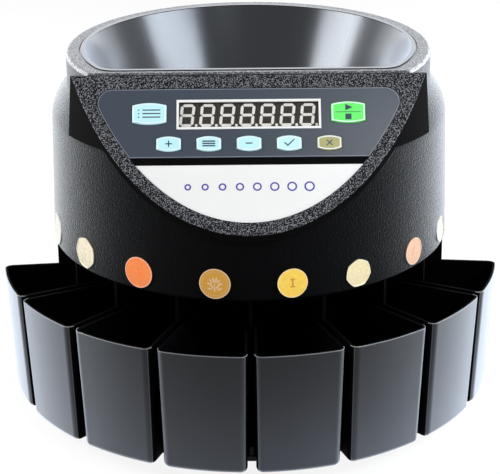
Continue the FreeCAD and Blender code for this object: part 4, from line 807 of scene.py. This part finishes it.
KEY_MARKS = {
    "key_report": list_mark,
    "key_plus": plus_mark,
    "key_batch": stack_mark,
    "key_minus": minus_mark,
    "key_set": tick_mark,
    "key_clear": cross_mark,
    "key_start_stop": run_mark,
}


# Badge figures, as outlines in metres about the middle of a badge
def leaf(x, y, long, wide, turn, sides=14):
    """Outline of an oval leaf about a point, leaning by an angle from upright."""
    lean = Matrix.Rotation(-math.radians(turn), 2)
    points = [Vector((wide / 2 * px, long / 2 * py)) for px, py in circle(0.0, 0.0, 1.0, sides)]
    return [tuple(lean @ point + Vector((x, y))) for point in points]


def pillar_figure():
    """An upright bar with a foot at each end."""
    ends, foot, thick, thin = 2.6 * MM, 1.5 * MM, 1.1 * MM, 0.8 * MM
    feet = [bar((-foot, side * ends), (foot, side * ends), thin) for side in (-1, 1)]
    return [bar((0.0, -ends), (0.0, ends), thick)] + feet


def star_figure():
    """A star with five tips."""
    tip, notch = 3.2 * MM, 1.3 * MM
    star = []
    for number in range(10):
        turn = math.pi * number / 5
        size = tip if number % 2 == 0 else notch
        star.append((size * math.sin(turn), size * math.cos(turn)))
    return [star]


def sprig_figure():
    """A stem with leaves in two fans, and a ring of beads."""
    lower_stem = bar((0.0, -5.6 * MM), (0.0, -2.0 * MM), 0.6 * MM)
    upper_stem = bar((0.0, -2.0 * MM), (0.0, 1.6 * MM), 0.5 * MM)
    shapes = [lower_stem, upper_stem]
    lower_fan = (-4.4 * MM, 3.2 * MM, (-75, -38, 38, 75))
    upper_fan = (-0.6 * MM, 3.6 * MM, (-80, -45, -15, 15, 45, 80))
    for root, spread, leaves in (lower_fan, upper_fan):
        for turn in leaves:
            lean = math.radians(turn)
            x = spread * math.sin(lean)
            y = root + spread * math.cos(lean)
            shapes.append(leaf(x, y, 3.6 * MM, 1.0 * MM, turn))
    beads = circle(0.0, 0.0, 8.3 * MM, sides=30)
    return shapes + [circle(x, y, 0.3 * MM, sides=8) for x, y in beads]


def eye_figure():
    """A dot in a ring of beads."""
    ring = circle(0.0, 0.0, 2.6 * MM, sides=12)
    beads = [circle(x, y, 0.35 * MM, sides=8) for x, y in ring]
    return beads + [circle(0.0, 0.0, 1.1 * MM, sides=20)]


BADGE_FIGURES = (
    star_figure, star_figure, star_figure, sprig_figure,
    pillar_figure, eye_figure, star_figure, star_figure,
)


# Operators, one for each group of like pieces
class SORTER_OT_casing(bpy.types.Operator):
    """Finish the drum, the hopper, the base and the housing"""
    bl_idname = "sorter.casing"
    bl_label = "Casing"

    def execute(self, context):
        colours = context.scene.sorter_colours
        drum = grained_black("drum_grain", colours.drum, DRUM_GRAIN, contrast=0.5, edge_power=4.4)
        base = grained_black("base_grain", colours.base, BASE_GRAIN, contrast=0.3, edge_power=10.0)
        housing = plastic_finish("casing_black", colours.drum, roughness=0.6, gloss=0.03)
        dress(drum, ["drum_shell"])
        dress(base, ["base_plate"])
        dress(housing, ["lower_housing", "chute_deck"])
        dress(hopper_finish(colours), ["hopper_bowl"])
        dress(plastic_finish("foot_rubber", (0.012, 0.012, 0.012), roughness=0.75), ["rubber_feet"])
        dress(metal_finish("screw_steel", (0.45, 0.45, 0.46)), ["case_screws", "motor_screws"])
        return {"FINISHED"}


class SORTER_OT_cups(bpy.types.Operator):
    """Finish the coin cups"""
    bl_idname = "sorter.cups"
    bl_label = "Coin cups"

    def execute(self, context):
        finish = cup_finish(context.scene.sorter_colours, context.scene.sorter_prints)
        dress(finish, ["coin_cup_%d" % (number + 1) for number in range(CUP_COUNT)])
        return {"FINISHED"}


class SORTER_OT_panel(bpy.types.Operator):
    """Finish the sloping panel, its film, its plate and its display"""
    bl_idname = "sorter.panel"
    bl_label = "Control panel"

    def execute(self, context):
        colours = context.scene.sorter_colours
        prints = context.scene.sorter_prints
        dress(bezel_finish(colours), ["control_panel"])
        dress(film_finish("slate_film", colours.overlay, roughness=0.18), ["keypad_overlay"])
        dress(film_finish("white_plate", colours.plate, roughness=0.3), ["nameplate"])
        dress(film_finish("display_frame_white", (0.86, 0.86, 0.85)), ["display_frame"])
        dress(self.window_finish(), ["display_window"])
        modules = plastic_finish("digit_module_brown", colours.display, roughness=0.5, gloss=0.3)
        dress(modules, ["digit_modules"])
        dress(film_finish("digit_segment", colours.segment), ["digit_segments"])
        dress(plastic_finish("circuit_board", (0.02, 0.16, 0.06), roughness=0.4), ["keypad_board"])
        dress(plastic_finish("switch_black", (0.02, 0.02, 0.021), roughness=0.5), ["key_switches"])
        self.film_line(colours, prints)
        self.plate_marks(colours, prints)
        return {"FINISHED"}

    @staticmethod
    def window_finish():
        finish = Finish("window_clear", {"Alpha": 0.05, "Base Color": (0.05, 0.04, 0.03)})
        finish.rough(finish.noise(scale=700.0), low=0.08, swing=0.06)
        return finish

    @staticmethod
    def film_line(colours, prints):
        outline, top = top_outline("keypad_overlay")
        outer = inset(outline, prints.film_inset)
        inner = inset(outline, prints.film_inset + prints.film_line)
        low, high = top - prints.ink_height, top + prints.ink_height
        finish = film_finish("film_line_grey", colours.film_line)

        def build(shape):
            add_band(shape, outer, inner, low, high, panel_point)

        mesh_piece("film_line", build, finish, "machine")

    @staticmethod
    def plate_marks(colours, prints):
        """A row of rings that grow from left to right."""
        outline, top = top_outline("nameplate")
        drop = 15.1 * MM
        middle = max(y for x, y in outline) - drop
        first, last = -40.0 * MM, 39.0 * MM
        small, large = 2.2 * MM, 3.4 * MM
        low, high = top - prints.ink_height, top + prints.ink_height
        finish = film_finish("plate_indigo", colours.plate_mark)

        def build(shape):
            for number in range(CUP_COUNT):
                share = number / (CUP_COUNT - 1)
                across = first + (last - first) * share
                radius = small + (large - small) * share
                outer = circle(across, middle, radius)
                inner = circle(across, middle, radius - prints.ring_width)
                add_band(shape, outer, inner, low, high, panel_point)

        mesh_piece("plate_marks", build, finish, "machine")


class SORTER_OT_keys(bpy.types.Operator):
    """Finish the keys and print their borders and marks"""
    bl_idname = "sorter.keys"
    bl_label = "Keys"

    def execute(self, context):
        colours = context.scene.sorter_colours
        prints = context.scene.sorter_prints
        tones = {
            "key_start_stop": ("key_green", colours.key_green),
            "key_clear": ("key_olive", colours.key_olive),
        }
        border = film_finish("key_border_white", colours.key_border)
        ink = film_finish("key_ink", colours.ink)
        for node in KEY_NODES:
            slot, tone = tones.get(node, ("key_blue", colours.key_blue))
            dress(key_finish(node + "_cap", tone), [node])
            self.print_key(node, prints, border, ink, slot)
        return {"FINISHED"}

    @staticmethod
    def print_key(node, prints, border, ink, slot):
        outline, top = top_outline(node)
        low, high = top - prints.ink_height, top + prints.ink_height
        across = (min(x for x, y in outline) + max(x for x, y in outline)) / 2
        along = (min(y for x, y in outline) + max(y for x, y in outline)) / 2
        outer = inset(outline, prints.border_inset)
        inner = inset(outline, prints.border_inset + prints.border_width)

        def build_border(shape):
            add_band(shape, outer, inner, low, high, panel_point)

        def build_mark(shape):
            for mark in KEY_MARKS[node](prints.stroke):
                moved = [(x + across, y + along) for x, y in mark]
                add_plate(shape, moved, low, high, panel_point)

        mesh_piece(node + "_border", build_border, border, BODY_OF[node])
        mesh_piece(node + "_mark", build_mark, ink, BODY_OF[node])


class SORTER_OT_badges(bpy.types.Operator):
    """Finish the coin badges and raise their rims and figures"""
    bl_idname = "sorter.badges"
    bl_label = "Coin badges"

    def execute(self, context):
        colours = context.scene.sorter_colours
        prints = context.scene.sorter_prints
        order = sorted(azimuth(middle_of(points))
                       for node in BADGE_NODES for points in badge_groups(node))
        tones = {
            "badges_silver": (colours.coin_white, colours.coin_cream, colours.coin_white),
            "badges_copper": (colours.coin_copper, colours.coin_rose),
            "badges_brass": (colours.coin_bronze, colours.coin_gold, colours.coin_ivory),
        }
        shade = film_finish("coin_shade", colours.coin_shade)
        skin = badge_skin()
        for node in BADGE_NODES:
            groups = badge_groups(node)
            places = [middle_of(points).x for points in groups]
            slot = node.replace("badges_", "coin_")
            field = coin_finish(slot, tones[node], places)
            dress(field, [node])
            pale = [tuple(RIM_WHITE + (1 - RIM_WHITE) * channel for channel in tone)
                    for tone in tones[node]]
            rim = coin_finish(slot + "_rim", pale, places)
            special = {pillar_figure: shade, sprig_figure: rim}
            for points in groups:
                number = order.index(azimuth(middle_of(points)))
                figure = special.get(BADGE_FIGURES[number], field)
                self.relief(number, points, skin, prints, rim, figure, slot)
        return {"FINISHED"}

    @staticmethod
    def relief(number, points, skin, prints, rim, figure, slot):
        """Raises the rim and the figure of one badge, both bent round the drum."""
        name = "badge_%d" % (number + 1)
        ends = [azimuth(point) for point in points]
        angle = (min(ends) + max(ends)) / 2
        level = (min(point.z for point in points) + max(point.z for point in points)) / 2
        flat = [(reach(point) * math.sin(azimuth(point) - angle), point.z - level)
                for point in points]
        outline = [flat[index] for index in convex_hull_2d(flat)]
        low, high = -prints.ink_height, prints.coin_relief

        def place(across, up, out):
            forward = math.sqrt((skin(level + up) + out) ** 2 - across ** 2)
            x = across * math.cos(angle) + forward * math.sin(angle)
            y = across * math.sin(angle) - forward * math.cos(angle)
            return Vector((x, AXIS_Y + y, level + up))

        def build_rim(shape):
            add_band(shape, outline, inset(outline, prints.coin_rim), low, high, place)

        def build_figure(shape):
            for mark in BADGE_FIGURES[number]():
                add_plate(shape, mark, low, high, place)

        mesh_piece(name + "_rim", build_rim, rim, "machine")
        mesh_piece(name + "_figure", build_figure, figure, "machine")


class SORTER_OT_drive(bpy.types.Operator):
    """Finish the coin track, the feed disc, the drive and the boards inside"""
    bl_idname = "sorter.drive"
    bl_label = "Coin track and drive"

    def execute(self, context):
        steel = metal_finish("drive_steel", (0.50, 0.50, 0.51), roughness=0.32)
        alloy = metal_finish("track_alloy", (0.66, 0.66, 0.67), roughness=0.36)
        black = plastic_finish("fitting_black", (0.012, 0.012, 0.013), roughness=0.45)
        dress(alloy, ["sorting_plate", "bearing_housing"])
        dress(steel, ["track_rail", "hub_cap", "drive_shaft", "ball_bearings", "motor_pinion",
                      "motor", "motor_bracket", "transformer_core"])
        dress(black, ["coin_sensors", "feed_disc", "board_components"])
        ivory = plastic_finish("gear_ivory", (0.60, 0.58, 0.50), roughness=0.5)
        dress(ivory, ["drive_gear", "board_standoffs"])
        dress(plastic_finish("main_board_green", (0.02, 0.16, 0.06), roughness=0.4), ["main_board"])
        enamel = metal_finish("coil_enamel", (0.48, 0.20, 0.08), roughness=0.4, stretch=(1.0, 1.0, 8.0))
        dress(enamel, ["transformer_coil"])
        return {"FINISHED"}


class SORTER_OT_rear(bpy.types.Operator):
    """Finish the rear panel and its fittings"""
    bl_idname = "sorter.rear"
    bl_label = "Rear fittings"

    def execute(self, context):
        black = plastic_finish("rear_black", (0.010, 0.010, 0.011), roughness=0.5)
        deep = plastic_finish("socket_black", (0.004, 0.004, 0.005), roughness=0.4, gloss=0.06)
        dress(black, ["rear_panel", "switch_rocker"])
        dress(deep, ["power_inlet", "switch_frame", "fuse_holder", "printer_port"])
        dress(metal_finish("pin_brass", (0.70, 0.62, 0.40), roughness=0.3), ["inlet_pins"])
        return {"FINISHED"}


class SORTER_OT_stage(bpy.types.Operator):
    """Set up the pale floor, the soft lamps and the camera"""
    bl_idname = "sorter.stage"
    bl_label = "Stage"

    def execute(self, context):
        scene = context.scene
        scene.view_settings.view_transform = "Standard"
        stage = scene.sorter_stage
        self.camera(scene, stage)
        self.floor(scene)
        self.world(scene, stage)
        self.lamp(scene, "left_lamp", place=(-0.85, -0.12, 0.65), target=(0.0, 0.0, 0.18),
                  size=(0.55, 0.235), power=stage.side_power, tint=NEUTRAL)
        self.lamp(scene, "right_lamp", place=(0.85, -0.36, 0.76), target=(0.0, 0.0, 0.18),
                  size=(0.75, 0.235), power=stage.side_power * 1.34, tint=COOL)
        for side, tint, back_share, low_share in ((-1, NEUTRAL, 0.8, 0.8), (1, COOL, 1.3, 1.9)):
            back = self.lamp(scene, "back_lamp", place=(side * 0.85, 0.75, 0.38),
                             target=(0.0, 0.0, 0.16), size=(1.2, 0.75),
                             power=stage.back_power * back_share, tint=tint)
            low = self.lamp(scene, "low_lamp", place=(side * 0.85, 0.22, 0.11),
                            target=(0.0, 0.05, 0.11), size=(1.1, 0.20),
                            power=stage.low_power * low_share, tint=tint)
            self.lamp(scene, "end_lamp", place=(side * 0.95, 1.0, 0.42),
                      target=(0.0, 0.0, 0.24), size=(0.85, 0.5),
                      power=stage.end_power, tint=tint)
            back.visible_glossy = False
            low.visible_glossy = False
        self.lamp(scene, "top_lamp", place=(0.25, -0.66, 1.10), target=(0.0, -0.05, 0.15),
                  size=(0.24, 0.3), power=stage.top_power, tint=NEUTRAL)
        return {"FINISHED"}

    @staticmethod
    def camera(scene, stage):
        data = bpy.data.cameras.new("camera")
        data.lens = stage.lens
        data.sensor_width = SENSOR_WIDTH
        data.sensor_fit = "HORIZONTAL"
        camera = bpy.data.objects.new("camera", data)
        beside, before, above = CAMERA_PLACE
        place = Matrix.Translation((beside, AXIS_Y + before, above))
        pitch = Matrix.Rotation(math.pi / 2 - CAMERA_TILT, 4, "X")
        roll = Matrix.Rotation(CAMERA_ROLL, 4, "Z")
        camera.matrix_world = place @ pitch @ roll
        scene.collection.objects.link(camera)
        scene.camera = camera

    @staticmethod
    def lamp(scene, name, place, target, size, power, tint):
        data = bpy.data.lights.new(name, "AREA")
        data.color = tint
        data.shape = "RECTANGLE"
        data.size, data.size_y = size
        data.energy = power
        lamp = bpy.data.objects.new(name, data)
        lamp.location = place
        lamp.rotation_euler = (Vector(target) - Vector(place)).to_track_quat("-Z", "Y").to_euler()
        scene.collection.objects.link(lamp)
        return lamp

    @staticmethod
    def seen(tree):
        """1 on rays that show the background: straight from the camera, or through gloss or glass."""
        path = add_node(tree, "LightPath").socket.node.outputs
        names = ("Is Camera Ray", "Is Glossy Ray", "Is Transmission Ray")
        straight, glossy, through = [Wire(tree, path[name]) for name in names]
        return straight.highest(glossy).highest(through)

    def floor(self, scene):
        mesh = bpy.data.meshes.new("floor")
        shape = bmesh.new()
        bmesh.ops.create_grid(shape, x_segments=4, y_segments=4, size=FLOOR_HALF)
        shape.to_mesh(mesh)
        shape.free()
        floor = bpy.data.objects.new("floor", mesh)
        scene.collection.objects.link(floor)
        finish = Finish("floor_white", {"Base Color": (0.85, 0.85, 0.85), "Roughness": 0.9})
        glow = finish.node("Emission", inputs={"Color": (1.0, 1.0, 1.0), "Strength": 1.0})
        finish.cover(self.seen(finish.tree) * FLOOR_GLOW, glow)
        mesh.materials.append(finish.material)

    def world(self, scene, stage):
        world = bpy.data.worlds.new("studio")
        world.use_nodes = True
        scene.world = world
        tree = world.node_tree
        back = tree.nodes["Background"]
        strength = self.seen(tree) * (1.0 - stage.world_level) + stage.world_level
        plug(tree, back.inputs["Color"], (1.0, 1.0, 1.0))
        plug(tree, back.inputs["Strength"], strength)


PIECES = (SORTER_OT_casing, SORTER_OT_cups, SORTER_OT_panel, SORTER_OT_keys, SORTER_OT_badges,
          SORTER_OT_drive, SORTER_OT_rear, SORTER_OT_stage)


class SORTER_PT_sidebar(bpy.types.Panel):
    """Lists the sorter's pieces and its settings"""
    bl_idname = "SORTER_PT_sidebar"
    bl_label = "Coin Sorter"
    bl_space_type = "VIEW_3D"
    bl_region_type = "UI"
    bl_category = "Coin Sorter"

    def draw(self, context):
        for operator in PIECES:
            self.layout.operator(operator.bl_idname)
        for name in SETTINGS:
            group = getattr(context.scene, name)
            for setting in group.bl_rna.properties.keys():
                if setting not in ("rna_type", "name"):
                    self.layout.prop(group, setting)


SETTINGS = {
    "sorter_colours": SorterColours,
    "sorter_prints": SorterPrints,
    "sorter_stage": SorterStage,
}
CLASSES = (*SETTINGS.values(), *PIECES, SORTER_PT_sidebar)


def register():
    for cls in CLASSES:
        bpy.utils.register_class(cls)
    for name, group in SETTINGS.items():
        setattr(bpy.types.Scene, name, PointerProperty(type=group))


def unregister():
    for name in SETTINGS:
        delattr(bpy.types.Scene, name)
    for cls in reversed(CLASSES):
        bpy.utils.unregister_class(cls)


def main():
    register()
    for operator in PIECES:
        family, name = operator.bl_idname.split(".")
        getattr(getattr(bpy.ops, family), name)()


if __name__ == "__main__":
    main()
